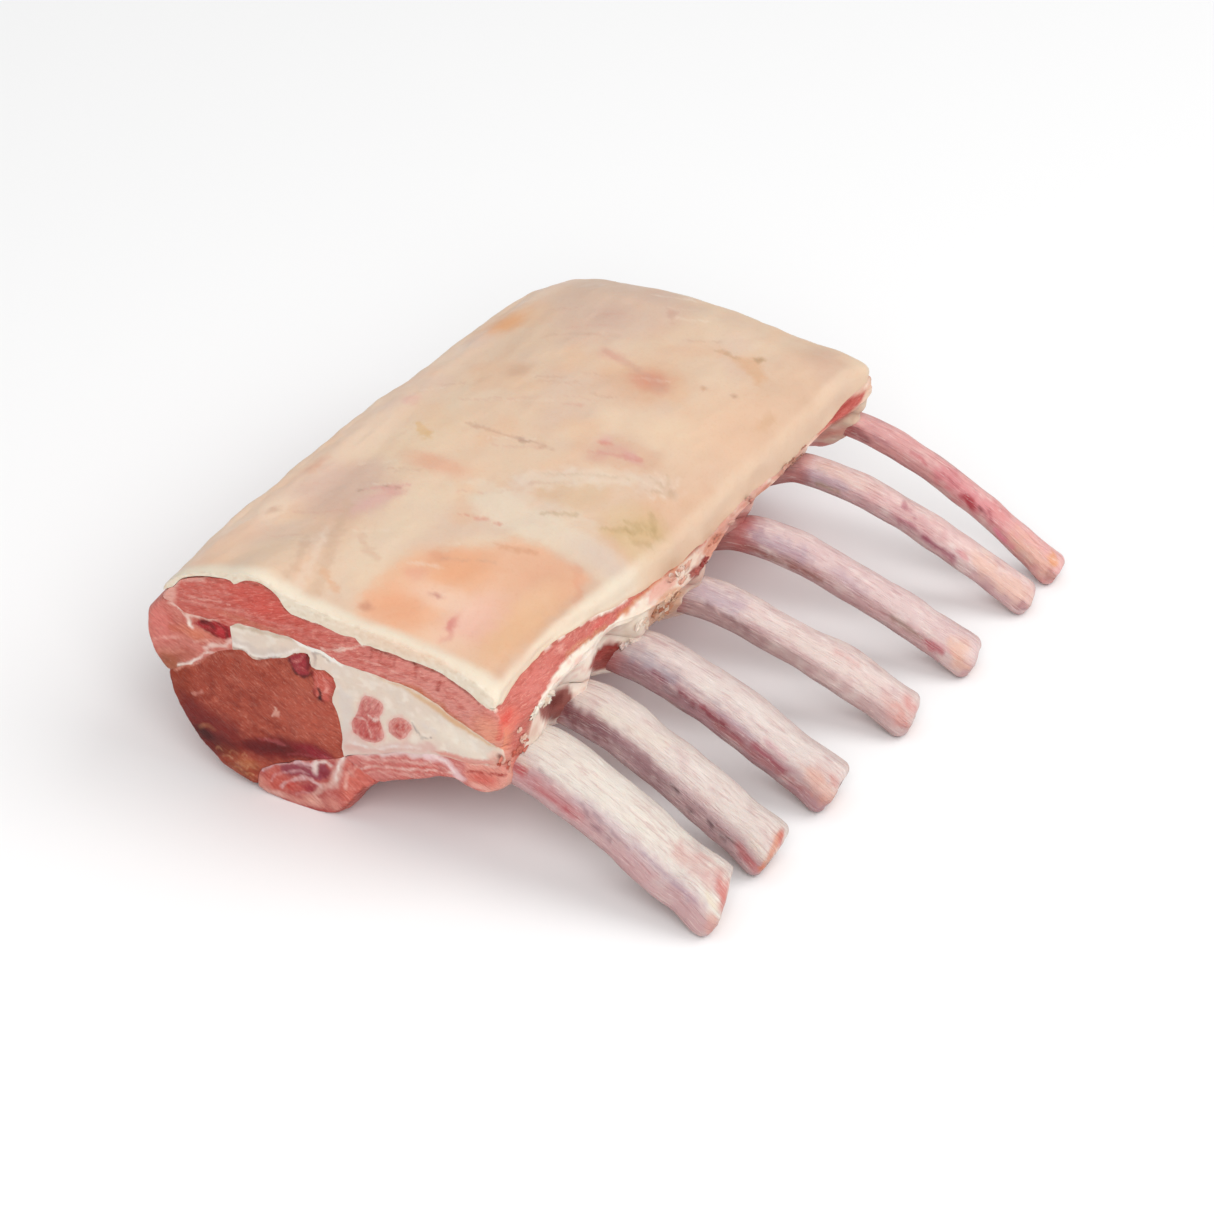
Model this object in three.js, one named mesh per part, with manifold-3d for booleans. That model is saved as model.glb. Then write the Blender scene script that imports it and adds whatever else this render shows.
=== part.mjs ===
// Frenched rack of lamb: a cap-on rib roast lying fat side up, with bared ribs.
// Units are millimetres. +Z is up, +Y runs along the backbone and +X points to the rib tips.
//
// The roast is drawn as one flat cross-section, the cut face at the shoulder end. Its outlines
// meet at shared corners, and each muscle or fat layer is the ring of outlines round it. Every
// ring is carried along the backbone through the same stations, so that neighbours keep an even
// clearance. The ribs are swept bars, and the meat is grooved round them.

import * as THREE from 'three';
import { mergeVertices } from 'three/addons/utils/BufferGeometryUtils.js';
import Module from 'manifold-3d';

const wasm = await Module();
wasm.setup();

// ---------- Driving dimensions ----------

const NEAR_Y = -90; // cut face at the shoulder end
const FAR_Y = 88; // cut face at the loin end
const LENGTH = FAR_Y - NEAR_Y;
const CLEARANCE = 0.3; // gap between neighbouring pieces
const CORNER_PULL = 1.5; // how far the fat corner by the first rib stands out of the cut face
const FAR_LEAN = 0.3; // how far the loin end leans back for each millimetre above LEAN_START
const LEAN_START = 40;
const FAR_SLANT = 0.8; // how much shorter the rack is along the top of the rib side
const END_DROP = 3; // how far the fat rounds down at the loin end
const SKIN_RELIEF = 0.45; // height of the low lumps on the fat

const RIB_EXIT_X = 50; // where the bared length of a rib starts
const RIB_TIP_X = 99.8; // where that of the first rib ends
const SWELLING_REACH = 16; // how far the swelling of a rib's far edge reaches along it
const RIB_ROOT_X = 16; // where a rib ends against the chine meat
const RIB_DEPTH_INSIDE = 5.4; // greatest depth of a rib under the meat
const RIB_BOXINESS = 3; // exponent of the rounded rectangle that a rib's section follows
const RIB_SIDES = 12;
const RIB_STEPS = 17;
const SCALLOP_DEPTH = 6; // how far the meat is scooped back between two ribs
const SCALLOP_RISE = 3; // how far its lower edge rises there
const CLING_REACH = 4; // how far it reaches past the edges of the rib
const CLING = 2.6; // how far past the middle of a rib the meat between two scoops is centred
const SEAM_FOOT = 27; // height on the cut face below which a thinner cap muscle moves nothing
const SIDE_FOOT = 25; // height on the cut face of the lower edge of the side by the ribs
const RIM_HEIGHT = 9; // how far above the edge of the fat its rounding reaches
const FAR_NARROWING = 3; // how much narrower the loin end is on the spine side

// Each rib: its place along the backbone where it leaves the meat and at its tip, how far the tip
// lies past the first rib's, its width and depth, how far it arches above the first rib's line
// and how much more it does so at the meat, the height and the middle of the swelling of its far
// edge, the flare of the sawn end, and how far that end is cut askew.
const RIBS = [
  {
    exitY: -79.6, tipY: -82, reach: -0.6, width: 18.6, depth: 10.6, arch: 0, lift: 0,
    swelling: 0.05, swellingX: 76, flare: 0.02, skew: 3.4,
  },
  {
    exitY: -55.4, tipY: -57.4, reach: 0, width: 14.8, depth: 9, arch: -0.2, lift: 0,
    swelling: 0.09, swellingX: 80, flare: 0.07, skew: 1.2,
  },
  {
    exitY: -30.2, tipY: -27.2, reach: 0, width: 14.4, depth: 9, arch: -0.4, lift: 0.5,
    swelling: 0.24, swellingX: 74, flare: 0.08, skew: 0.8,
  },
  {
    exitY: -1.6, tipY: 9.8, reach: 0.8, width: 11.4, depth: 7.4, arch: 0.4, lift: 0.6,
    swelling: 0.4, swellingX: 84, flare: 0.1, skew: 0.5,
  },
  {
    exitY: 27.2, tipY: 40.2, reach: 1.8, width: 11.2, depth: 7, arch: 1.6, lift: 0.8,
    swelling: 0.06, swellingX: 84, flare: 0.08, skew: 0.3,
  },
  {
    exitY: 58, tipY: 71.6, reach: 1.2, width: 9.2, depth: 5.8, arch: 3.2, lift: 1.6,
    swelling: 0.03, swellingX: 84, flare: 0.08, skew: 0.3,
  },
  {
    exitY: 82.2, tipY: 87, reach: 1, width: 7.8, depth: 5.2, arch: 3.2, lift: 1.4,
    swelling: 0.1, swellingX: 80, flare: 0.22, skew: 0.3,
  },
];

// ---------- The cut face at the shoulder end: X across, Z up ----------

// Corners where three layers meet, or two layers and the open air.
const CORNER = {
  skinLeft: [-44.6, 47.6],
  capLeft: [-45.4, 45.6],
  eyeLeft: [-44.8, 25.6],
  chineLeft: [-20.4, 1.2],
  chineRight: [13.4, 13.4],
  eyeFoot: [4.2, 17.8],
  spineRight: [-26.2, 43.8],
  spineFoot: [-25.6, 37.6],
  ribRight: [48.6, 30.4],
  seamRight: [48.4, 34.6],
  skinRight: [47.4, 44.6],
};

// Outlines between two corners. The points lie between the ends.
const OUTLINE = {
  skin: ['skinLeft', 'skinRight', [
    [-44.2, 49.4], [-41.6, 52.4], [-36, 55.6], [-28, 57.8], [-19.5, 60], [-10, 57.6],
    [2, 55.4], [20, 54.2], [34, 52.6], [42.5, 50.4], [46.8, 47.6],
  ]],
  fatUnderside: ['skinLeft', 'skinRight', [
    [-36, 53.6], [-26, 55.6], [-19.5, 56.6], [-11, 53.2], [0, 51], [20, 50], [35, 48.2],
  ]],
  capEdgeLeft: ['skinLeft', 'capLeft', []],
  capUndersideLeft: ['capLeft', 'spineRight', [[-38, 43.4]]],
  capUndersideRight: ['spineRight', 'seamRight', [
    [-9, 45.6], [8, 43.4], [22.8, 41.4], [35.7, 38.4],
  ]],
  spineOuter: ['capLeft', 'eyeLeft', [[-49, 42], [-49.9, 36.8], [-48, 30.6]]],
  spineInner: ['spineRight', 'spineFoot', []],
  spineUnderside: ['eyeLeft', 'spineFoot', [[-37.4, 29.8], [-31.2, 34.8]]],
  eyeOuter: ['eyeLeft', 'chineLeft', [[-42.2, 19.3], [-38.6, 12.6], [-32.4, 6], [-26, 2.6]]],
  eyeTop: ['spineFoot', 'eyeFoot', [
    [-17.6, 37], [-11.4, 40.2], [-5.6, 42.6], [-3.6, 39.8], [1.2, 39.2], [2.6, 34.4], [3.6, 25],
  ]],
  eyeUnderside: ['eyeFoot', 'chineLeft', [[-3, 14.6], [-12, 10.6], [-18.6, 6.4]]],
  chineOuter: ['chineLeft', 'chineRight', [[-17.6, 0], [0.6, 0], [4.4, 2.8], [9, 9.2]]],
  chineInner: ['eyeFoot', 'chineRight', []],
  ribMeatTop: ['eyeFoot', 'ribRight', [[15.5, 22.5], [28.7, 26.4], [39, 27.6]]],
  ribMeatUnderside: ['chineRight', 'ribRight', [
    [24, 17.6], [34.4, 21.2], [39.5, 20], [44.6, 21.4], [48.4, 25.4],
  ]],
  seamEdge: ['ribRight', 'seamRight', []],
  capEdgeRight: ['seamRight', 'skinRight', [[48.6, 40]]],
};

// Two strips of lean that run through the seam fat, as closed loops.
const LEAN_LOOPS = {
  lean_strip_inner: [
    [7.2, 29], [8.4, 33.4], [9.6, 36.6], [13.4, 36.2], [15.2, 32.6], [15.4, 27], [11.6, 24.6],
  ],
  lean_strip_outer: [[17, 31.6], [20, 33.2], [22.6, 30.6], [21.6, 27], [17.4, 27.2]],
};

// The layers, each as the outlines round it. A minus sign runs an outline backwards.
const LAYERS = {
  fat_cap: ['skin', '-fatUnderside'],
  cap_muscle: ['fatUnderside', '-capEdgeRight', '-capUndersideRight', '-capUndersideLeft', '-capEdgeLeft'],
  spine_muscle: ['capUndersideLeft', 'spineInner', '-spineUnderside', '-spineOuter'],
  seam_fat: ['capUndersideRight', '-seamEdge', '-ribMeatTop', '-eyeTop', '-spineInner'],
  eye_muscle: ['spineUnderside', 'eyeTop', 'eyeUnderside', '-eyeOuter'],
  chine_meat: ['-eyeUnderside', 'chineInner', '-chineOuter'],
  rib_meat: ['ribMeatTop', '-ribMeatUnderside', '-chineInner'],
};

const COLOURS = {
  fat_cap: 0xecc9a2,
  cap_muscle: 0xc0524c,
  spine_muscle: 0xc55a50,
  seam_fat: 0xe6dcc8,
  eye_muscle: 0x8c3228,
  chine_meat: 0xb85a52,
  rib_meat: 0xc8706a,
  lean_strip_inner: 0xc87670,
  lean_strip_outer: 0xcb7c74,
  rib: 0xd9bcb4,
};

// ---------- Small helpers ----------

const { clamp, lerp, smoothstep } = THREE.MathUtils;

// A hump of height 1 at the centre that dies out at the given reach.
const hump = (value, centre, reach) => 1 - smoothstep(Math.abs(value - centre), 0, reach);

// A height through [position, height] pairs, straight between them and level past both ends.
function profile(pairs) {
  return (value) => {
    const last = pairs.length - 1;
    if (value <= pairs[0][0]) return pairs[0][1];
    if (value >= pairs[last][0]) return pairs[last][1];
    const next = pairs.findIndex((pair) => pair[0] >= value);
    const share = (value - pairs[next - 1][0]) / (pairs[next][0] - pairs[next - 1][0]);
    return lerp(pairs[next - 1][1], pairs[next][1], share);
  };
}

// ---------- How the cross-section changes along the backbone ----------

// Height of the fat over X: at the cut face, through the middle, and at the loin end.
const skinAtNear = profile([
  [-44.2, 49.4], [-41.6, 52.4], [-36, 55.6], [-28, 57.8], [-19.5, 60], [-10, 57.6], [2, 55.4],
  [20, 54.2], [34, 52.6], [42.5, 50.4], [46.8, 47.6],
]);
const skinAtMiddle = profile([
  [-44.2, 51.8], [-38, 54.9], [-28, 56], [-16, 57.4], [0, 57], [16, 56], [30, 54.6], [40, 52.2],
  [47, 49.2],
]);
const skinAtFar = profile([
  [-44.2, 47.6], [-38, 51.6], [-31, 54], [-22, 56], [-10, 57], [6, 56.4], [20, 55.4],
  [34, 53.4], [42, 51.8], [47, 50],
]);

// How far the trimmed side by the ribs stands out from its place at the cut face, along Y: the
// edge of the fat, and the foot of the meat below it.
const fatEdgeShift = profile([
  [-90, 0], [-80, -2.2], [-66, -2.2], [-52, -1], [-35, -0.6], [62, -0.6], [76, 0], [88, 1.2],
]);
const footShift = profile([
  [-90, 0], [-84, 1.6], [-70, 2.4], [-56, 2.4], [-42, 0.6], [-30, 2.2], [-12, 3.6], [14, 0.2],
  [40, -1.2], [70, -1.4], [80, 1], [88, 1.4],
]);

// How far the edge of the fat and the foot of the meat lie above their heights at the cut face.
const fatEdgeRise = profile([
  [-56, 0], [-45, -0.6], [-30, -3.9], [-18, -5.4], [6, -7.4], [25, -7], [40, -8.4], [54, -8],
  [64, -7.2], [71, -6], [80, -3.6], [88, -0.8],
]);
const footRise = profile([
  [-30, 0], [-12, 0], [14, 1.8], [41, 6.4], [70, 6.4], [80, 7], [88, 7],
]);

// Thickness of the cap muscle at the right-hand edge, as a share of that at the cut face.
const capShare = profile([
  [-90, 1], [-84, 0.74], [-76, 0.56], [-55, 0.48], [-30, 0.32], [-8, 0.16], [60, 0.16],
  [78, 0.55], [88, 0.45],
]);

// 1 beside a rib and 0 between two of them. The meat clings to the loin side of each rib.
const besideRib = (y) => Math.max(
  ...RIBS.map((rib) => hump(y, rib.exitY + CLING, rib.width / 2 + CLING_REACH)),
);

// Moves a point of the cut face to its place at a share of the way along the backbone.
function place(x, z, share) {
  const y = lerp(NEAR_Y, FAR_Y, share);
  const nearWeight = 1 - smoothstep(y, NEAR_Y, NEAR_Y + 34);
  const farWeight = smoothstep(y, -30, 76);
  const settled = lerp(skinAtMiddle(x), skinAtFar(x), farWeight);
  const rounded = settled - END_DROP * smoothstep(y, 74, 90);
  const skin = lerp(rounded, skinAtNear(x), nearWeight);
  const heightShare = clamp(z / skinAtNear(x), 0, 1);
  const relief = SKIN_RELIEF * Math.sin(0.09 * x + 1.3) * Math.sin(0.075 * y + 0.04 * x);
  let newZ = z + heightShare * (skin - skinAtNear(x) + relief * (1 - nearWeight));

  // The cap muscle thins towards the rib side, and the fat seam below fills its room.
  const capTop = CORNER.skinRight[1];
  const capFoot = CORNER.seamRight[1];
  const lift = (capTop - capFoot) * (1 - capShare(y));
  const liftShare = z > capFoot ? (capTop - z) / (capTop - capFoot) : (z - SEAM_FOOT) / (capFoot - SEAM_FOOT);
  const lifted = smoothstep(x, 8, 46) * clamp(liftShare, 0, 1) * lift;
  newZ += lifted;

  // Towards the loin end the fat drapes lower over the ribs, and the foot below it rises.
  const downward = clamp((capTop - z - lifted) / (capTop - SIDE_FOOT), 0, 1);
  const upward = clamp((z - capTop) / RIM_HEIGHT, 0, 1);
  newZ += smoothstep(x, 28, 47) * (1 - upward) * lerp(fatEdgeRise(y), footRise(y), downward);

  // The side by the ribs follows its trimmed edges, and is scooped back between the ribs.
  const outward = clamp((x - 20) / 27.5, 0, 1);
  const low = clamp((45 - z) / 7, 0, 1);
  const lowest = clamp((37 - z) / 7, 0, 1);
  const scooped = (1 - besideRib(y)) * (1 - nearWeight);
  let newX = x + outward * lerp(fatEdgeShift(y), footShift(y), low);
  newX -= outward * outward * lowest * SCALLOP_DEPTH * scooped;
  newZ += outward * outward * lowest * SCALLOP_RISE * scooped;

  // The loin end is a little narrower on the spine side.
  const leftward = clamp((20 - x) / 64, 0, 1);
  newX += leftward * leftward * FAR_NARROWING * smoothstep(y, 55, FAR_Y);
  return [newX, newZ];
}

// Where a point of the cross-section lies along the backbone.
function along(x, z, share) {
  const nearY = NEAR_Y - CORNER_PULL * hump(x, 48, 22) * hump(z, 46, 22);
  const slant = FAR_SLANT * smoothstep(x, -10, 46) * smoothstep(z, 26, 44);
  const farY = FAR_Y - FAR_LEAN * Math.max(0, z - LEAN_START) - slant;
  return lerp(nearY, farY, share);
}

// Stations: both cut faces, both edges of every rib, and half-way between ribs.
function stations() {
  const places = [NEAR_Y, FAR_Y];
  for (const rib of RIBS) places.push(rib.exitY - rib.width / 2, rib.exitY + rib.width / 2);
  for (let i = 1; i < RIBS.length; i++) places.push((RIBS[i - 1].exitY + RIBS[i].exitY) / 2);
  places.sort((a, b) => a - b);
  return places.map((y) => (y - NEAR_Y) / LENGTH);
}

const STATIONS = stations();

// ---------- Layers ----------

// The points of one outline, from its first corner up to, but not with, its last.
function outlinePoints(name) {
  const backwards = name.startsWith('-');
  const [from, to, between] = OUTLINE[backwards ? name.slice(1) : name];
  const points = [CORNER[from], ...between, CORNER[to]];
  if (backwards) points.reverse();
  return points.slice(0, -1);
}

// Moves each point of a loop to the left of its running direction, which is into the material.
function inset(loop, distance) {
  const count = loop.length;
  const normal = (a, b) => {
    const edge = new THREE.Vector2().subVectors(b, a).normalize();
    return new THREE.Vector2(-edge.y, edge.x);
  };
  return loop.map((point, i) => {
    const before = normal(loop[(i + count - 1) % count], point);
    const after = normal(point, loop[(i + 1) % count]);
    const sharpness = Math.max(1 + before.dot(after), 0.25);
    return point.clone().addScaledVector(before.add(after), distance / sharpness);
  });
}

// A closed loop of [x, z] points, turned to run anticlockwise, or clockwise for a tunnel.
function oriented(loop, isTunnel) {
  const area = THREE.ShapeUtils.area(loop.map(([x, z]) => new THREE.Vector2(x, z)));
  return (area > 0) === isTunnel ? [...loop].reverse() : loop;
}

// Carries closed loops of the cut face through the stations and closes both ends. The first
// loop is the outside, and any others are tunnels through it.
function loft(outside, tunnels = []) {
  const loops = [oriented(outside, false), ...tunnels.map((tunnel) => oriented(tunnel, true))];
  const perStation = loops.flat().length;
  const positions = [];
  const index = [];
  const sections = STATIONS.map((share) => loops.map((loop) => {
    const moved = loop.map(([x, z]) => new THREE.Vector2(...place(x, z, share)));
    return inset(moved, CLEARANCE / 2);
  }));
  sections.forEach((section, k) => {
    const sources = loops.flat();
    section.flat().forEach((point, i) => {
      const onTable = sources[i][1] === 0;
      positions.push(point.x, along(...sources[i], STATIONS[k]), onTable ? 0 : point.y);
    });
  });

  // The walls, one band of triangles for each edge of each loop.
  let start = 0;
  for (const loop of loops) {
    for (let j = 0; j < loop.length; j++) {
      const next = (j + 1) % loop.length;
      // Neighbours share their edges, so the diagonal depends on the two points alone.
      const risingEdge = loop[j][0] + loop[j][1] / 9 < loop[next][0] + loop[next][1] / 9;
      for (let k = 0; k + 1 < STATIONS.length; k++) {
        const a = k * perStation + start + j;
        const b = k * perStation + start + next;
        const c = b + perStation;
        const d = a + perStation;
        index.push(...(risingEdge ? [a, c, b, a, d, c] : [a, d, b, b, d, c]));
      }
    }
    start += loop.length;
  }

  // The two cut faces.
  for (const k of [0, STATIONS.length - 1]) {
    const points = sections[k].flat();
    const base = k * perStation;
    for (const [a, b, c] of THREE.ShapeUtils.triangulateShape(sections[k][0], sections[k].slice(1))) {
      const faceOut = isAnticlockwise(points[a], points[b], points[c]) === (k === 0);
      index.push(base + a, base + (faceOut ? b : c), base + (faceOut ? c : b));
    }
  }
  const geometry = new THREE.BufferGeometry();
  geometry.setAttribute('position', new THREE.Float32BufferAttribute(positions, 3));
  geometry.setIndex(index);
  return geometry;
}

// True where three points run anticlockwise with X right and Z up.
function isAnticlockwise(a, b, c) {
  return new THREE.Vector2().subVectors(b, a).cross(new THREE.Vector2().subVectors(c, a)) > 0;
}

// ---------- Ribs ----------

// The middle line of a rib, from its root under the meat to its sawn tip.
function ribPath(rib) {
  const tipHeight = rib.depth * 0.4;
  const drift = rib.tipY - rib.exitY;
  const points = [
    [RIB_ROOT_X, 15.2], [22, 18.4], [30, 21.8], [38, 25], [44, 26.8], [RIB_EXIT_X, 27],
    [57, 25.4], [66, 21.4], [77, 16], [88, 10], [95, tipHeight + 3.2], [RIB_TIP_X, tipHeight],
  ];
  return new THREE.CatmullRomCurve3(points.map(([x, z]) => {
    const share = clamp((x - RIB_EXIT_X) / (RIB_TIP_X - RIB_EXIT_X), -0.2, 1);
    const arch = rib.arch * (1 - smoothstep(x, 60, RIB_TIP_X)) + rib.lift * (1 - smoothstep(x, 44, 54));
    const rise = arch * smoothstep(x, 22, 42);
    return new THREE.Vector3(x + rib.reach * Math.max(share, 0), rib.exitY + drift * share, z + rise);
  }), false, 'centripetal');
}

// Width of a rib at X, as a share of its own.
const ribWidth = profile([
  [16, 0.62], [30, 0.7], [44, 0.92], [50, 1], [70, 0.94], [80, 0.96], [92, 0.98], [99, 1],
]);

// A rib, or the groove for it where it is grown by the clearance.
function ribGeometry(rib, grown) {
  const path = ribPath(rib);
  const positions = [];
  const index = [];
  for (let step = 0; step < RIB_STEPS; step++) {
    const share = step / (RIB_STEPS - 1);
    const centre = path.getPointAt(share);
    const tangent = path.getTangentAt(share);
    const across = new THREE.Vector3(0, 1, 0).addScaledVector(tangent, -tangent.y).normalize();
    const upward = new THREE.Vector3().crossVectors(tangent, across);
    if (step === 0) centre.addScaledVector(tangent, -grown);
    const swelling = rib.swelling * hump(centre.x, rib.swellingX, SWELLING_REACH);
    const flare = rib.flare * smoothstep(centre.x, 92, RIB_TIP_X);
    const inside = 1 - smoothstep(centre.x, 34, RIB_EXIT_X);
    const halfWidth = rib.width / 2 * (ribWidth(centre.x) + swelling / 2 + flare) + grown;
    const depth = lerp(rib.depth, Math.min(RIB_DEPTH_INSIDE, rib.depth), inside);
    const halfDepth = depth / 2 * (1 + flare) + grown;
    centre.addScaledVector(across, rib.width / 2 * swelling / 2);
    for (let side = 0; side < RIB_SIDES; side++) {
      const angle = (side + 0.5) / RIB_SIDES * 2 * Math.PI;
      const round = (value) => Math.sign(value) * Math.abs(value) ** (2 / RIB_BOXINESS);
      const point = centre.clone()
        .addScaledVector(across, halfWidth * round(Math.cos(angle)))
        .addScaledVector(upward, halfDepth * round(Math.sin(angle)));
      if (step === RIB_STEPS - 1) point.addScaledVector(tangent, -rib.skew * round(Math.cos(angle)));
      positions.push(point.x, point.y, Math.max(point.z, 0));
    }
  }
  for (let step = 0; step + 1 < RIB_STEPS; step++) {
    for (let side = 0; side < RIB_SIDES; side++) {
      const a = step * RIB_SIDES + side;
      const b = step * RIB_SIDES + (side + 1) % RIB_SIDES;
      index.push(a, b, b + RIB_SIDES, a, b + RIB_SIDES, a + RIB_SIDES);
    }
  }
  const end = (RIB_STEPS - 1) * RIB_SIDES;
  for (let side = 1; side + 1 < RIB_SIDES; side++) {
    index.push(0, side + 1, side, end, end + side, end + side + 1);
  }
  const geometry = new THREE.BufferGeometry();
  geometry.setAttribute('position', new THREE.Float32BufferAttribute(positions, 3));
  geometry.setIndex(index);
  return geometry;
}

// ---------- Boolean cuts ----------

function toSolid(geometry) {
  const bare = geometry.clone();
  bare.deleteAttribute('normal');
  bare.deleteAttribute('uv');
  const merged = mergeVertices(bare, 1e-4);
  return new wasm.Manifold(new wasm.Mesh({
    numProp: 3,
    vertProperties: Float32Array.from(merged.attributes.position.array),
    triVerts: Uint32Array.from(merged.index.array),
  }));
}

function toGeometry(solid) {
  const mesh = solid.getMesh();
  const geometry = new THREE.BufferGeometry();
  geometry.setAttribute('position', new THREE.Float32BufferAttribute(mesh.vertProperties, 3));
  geometry.setIndex([...mesh.triVerts]);
  return geometry;
}

// ---------- The object ----------

function piece(name, geometry, colour) {
  const shaded = geometry.toNonIndexed();
  shaded.computeVertexNormals();
  const material = new THREE.MeshStandardMaterial({ color: colour, roughness: 0.5, metalness: 0 });
  const mesh = new THREE.Mesh(shaded, material);
  mesh.name = name;
  return mesh;
}

const rack = new THREE.Group();
const grooves = RIBS.map((rib) => toSolid(ribGeometry(rib, CLEARANCE)));

for (const [name, outlines] of Object.entries(LAYERS)) {
  const tunnels = name === 'seam_fat' ? Object.values(LEAN_LOOPS) : [];
  let geometry = loft(outlines.flatMap(outlinePoints), tunnels);
  if (name === 'rib_meat' || name === 'seam_fat') {
    const grooved = grooves.reduce((solid, groove) => solid.subtract(groove), toSolid(geometry));
    geometry = toGeometry(grooved);
  }
  rack.add(piece(name, geometry, COLOURS[name]));
}

for (const [name, loop] of Object.entries(LEAN_LOOPS)) {
  rack.add(piece(name, loft(loop), COLOURS[name]));
}

RIBS.forEach((rib, i) => rack.add(piece(`rib_${i + 1}`, ribGeometry(rib, 0), COLOURS.rib)));

// The origin is under the middle of the whole, at the height of what it rests on.
const box = new THREE.Box3().setFromObject(rack);
const middle = box.getCenter(new THREE.Vector3());
rack.position.set(-middle.x, -middle.y, -box.min.z);

export default rack;
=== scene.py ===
# Raw frenched rack of lamb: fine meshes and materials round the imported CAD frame.
#
# The section (the cut face at the shoulder end) and the rules that carry it along the backbone
# repeat the part's source, in millimetres: X across to the rib tips, Y along the backbone, Z up.
# Meshes are built in that section frame and moved to the row frame, in metres, at the end.

import functools
import math

import bpy
import numpy as np
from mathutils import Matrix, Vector
from mathutils.geometry import delaunay_2d_cdt


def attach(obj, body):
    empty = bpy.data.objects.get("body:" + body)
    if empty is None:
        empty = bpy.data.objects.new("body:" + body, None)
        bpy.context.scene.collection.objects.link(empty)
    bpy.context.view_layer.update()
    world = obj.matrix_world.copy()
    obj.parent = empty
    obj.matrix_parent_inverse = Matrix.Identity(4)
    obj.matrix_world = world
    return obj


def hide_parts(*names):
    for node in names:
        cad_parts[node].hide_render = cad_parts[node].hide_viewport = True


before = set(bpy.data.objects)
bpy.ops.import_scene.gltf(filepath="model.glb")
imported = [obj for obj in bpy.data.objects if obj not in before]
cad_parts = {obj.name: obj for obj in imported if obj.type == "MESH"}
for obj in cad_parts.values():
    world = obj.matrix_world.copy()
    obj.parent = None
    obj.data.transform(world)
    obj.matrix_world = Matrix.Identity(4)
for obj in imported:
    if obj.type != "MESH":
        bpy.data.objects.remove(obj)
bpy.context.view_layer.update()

# ---------- Named sizes, in millimetres ----------

SECTION_TO_ROW = np.array([-27.261, -0.067, 0.0])
NEAR_Y, FAR_Y = -90.0, 88.0  # cut faces at the shoulder end and the loin end
LENGTH = FAR_Y - NEAR_Y
NEAR_REACH = 34.0  # how far the shoulder end's own form reaches along the backbone
CORNER_PULL = 1.5  # how far the fat corner by the first rib stands out of the cut face
FAT_CORNER_X, FAT_CORNER_Z, FAT_CORNER_REACH = 48.0, 46.0, 22.0
FAR_LEAN, LEAN_START = 0.3, 40.0  # how far the loin end leans back per millimetre above a height
FAR_SLANT = 0.8  # how much shorter the rack is along the top of the rib side
FAR_SET_IN = 2.6  # and how much shorter again below the edge of the fat
END_DROP = 3.0  # how far the fat rounds down at the loin end
SKIN_RELIEF = 0.45  # height of the low lumps on the fat
RIB_ROOT_X, RIB_EXIT_X, RIB_TIP_X = 16.0, 50.0, 99.8  # where a rib starts, is bared and ends
RIB_DEPTH_INSIDE = 5.4  # greatest depth of a rib under the meat
RIB_BOXINESS = 3.0  # exponent of the rounded rectangle that a rib's section follows
SWELLING_REACH = 16.0  # how far the swelling of a rib's far edge reaches along it
SCALLOP_DEPTH, SCALLOP_RISE = 6.0, 3.0  # how far the meat is scooped back and up between ribs
CLING, CLING_REACH = 0.6, 3.6  # how far past a rib's middle and its edges the meat keeps to it
TUCK = 2.2  # how far the lower edge of the meat is tucked in where it keeps to a rib
SEAM_FOOT = 27.0  # height on the cut face below which a thinner cap muscle moves nothing
SIDE_FOOT = 25.0  # height on the cut face of the lower edge of the rib side
RIM_HEIGHT = 9.0  # how far above the edge of the fat its rounding reaches
FAR_NARROWING = 3.0  # how much narrower the loin end is on the spine side

WAVE_SIZE, RAG_SIZE, RAG_HEIGHT = 5, 2, 0.22  # how the outlines stray from their smooth curves
WAVE_X, WAVE_Z = 0.45, 0.4
WAVE_SQUEEZE = 0.4  # length of the waves across the backbone, as a share of that along it

STATION_STEP = 0.75  # between two rings of a layer
FACE_STEP = 0.48  # between points of a cut face
OPEN_STEP = 0.7  # between points of an outline that shows
HIDDEN_STEP = 1.2  # between points of one that only shows at its ends
SHARP_ANGLE = 50  # degrees; edges folded more than this are drawn sharp
OVERLAP = 0.03  # how far neighbours run into each other, so that no crack shows

# Each rib: its place along the backbone at the meat and at the tip, how far the tip lies past
# RIB_TIP_X, width, depth, arch above the first rib's line, what is added to it at the meat, the
# swelling of the far edge and its middle, flare of the sawn end, and its skew.
RIB_FIELDS = ("exit_y", "tip_y", "reach", "width", "depth", "arch", "lift", "swelling", "swelling_x",
              "flare", "skew")
RIBS = [dict(zip(RIB_FIELDS, row)) for row in (
    (-79.6, -82.0, -0.6, 18.6, 10.6, 0.0, 0.0, 0.05, 76, 0.02, 3.4),
    (-55.4, -57.4, 0.0, 14.8, 9.0, -0.2, 0.0, 0.09, 80, 0.07, 1.2),
    (-30.2, -27.2, 0.0, 14.4, 9.0, -0.4, 0.5, 0.24, 74, 0.08, 0.8),
    (-1.6, 9.8, 0.8, 11.4, 7.4, 0.4, 0.6, 0.40, 84, 0.10, 0.5),
    (27.2, 40.2, 1.8, 11.2, 7.0, 1.6, 0.8, 0.06, 84, 0.08, 0.3),
    (58.0, 71.6, 1.2, 9.2, 5.8, 3.2, 1.6, 0.03, 84, 0.08, 0.3),
    (82.2, 87.0, 1.0, 7.8, 5.2, 3.2, 1.4, 0.10, 80, 0.22, 0.3),
)]

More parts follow.
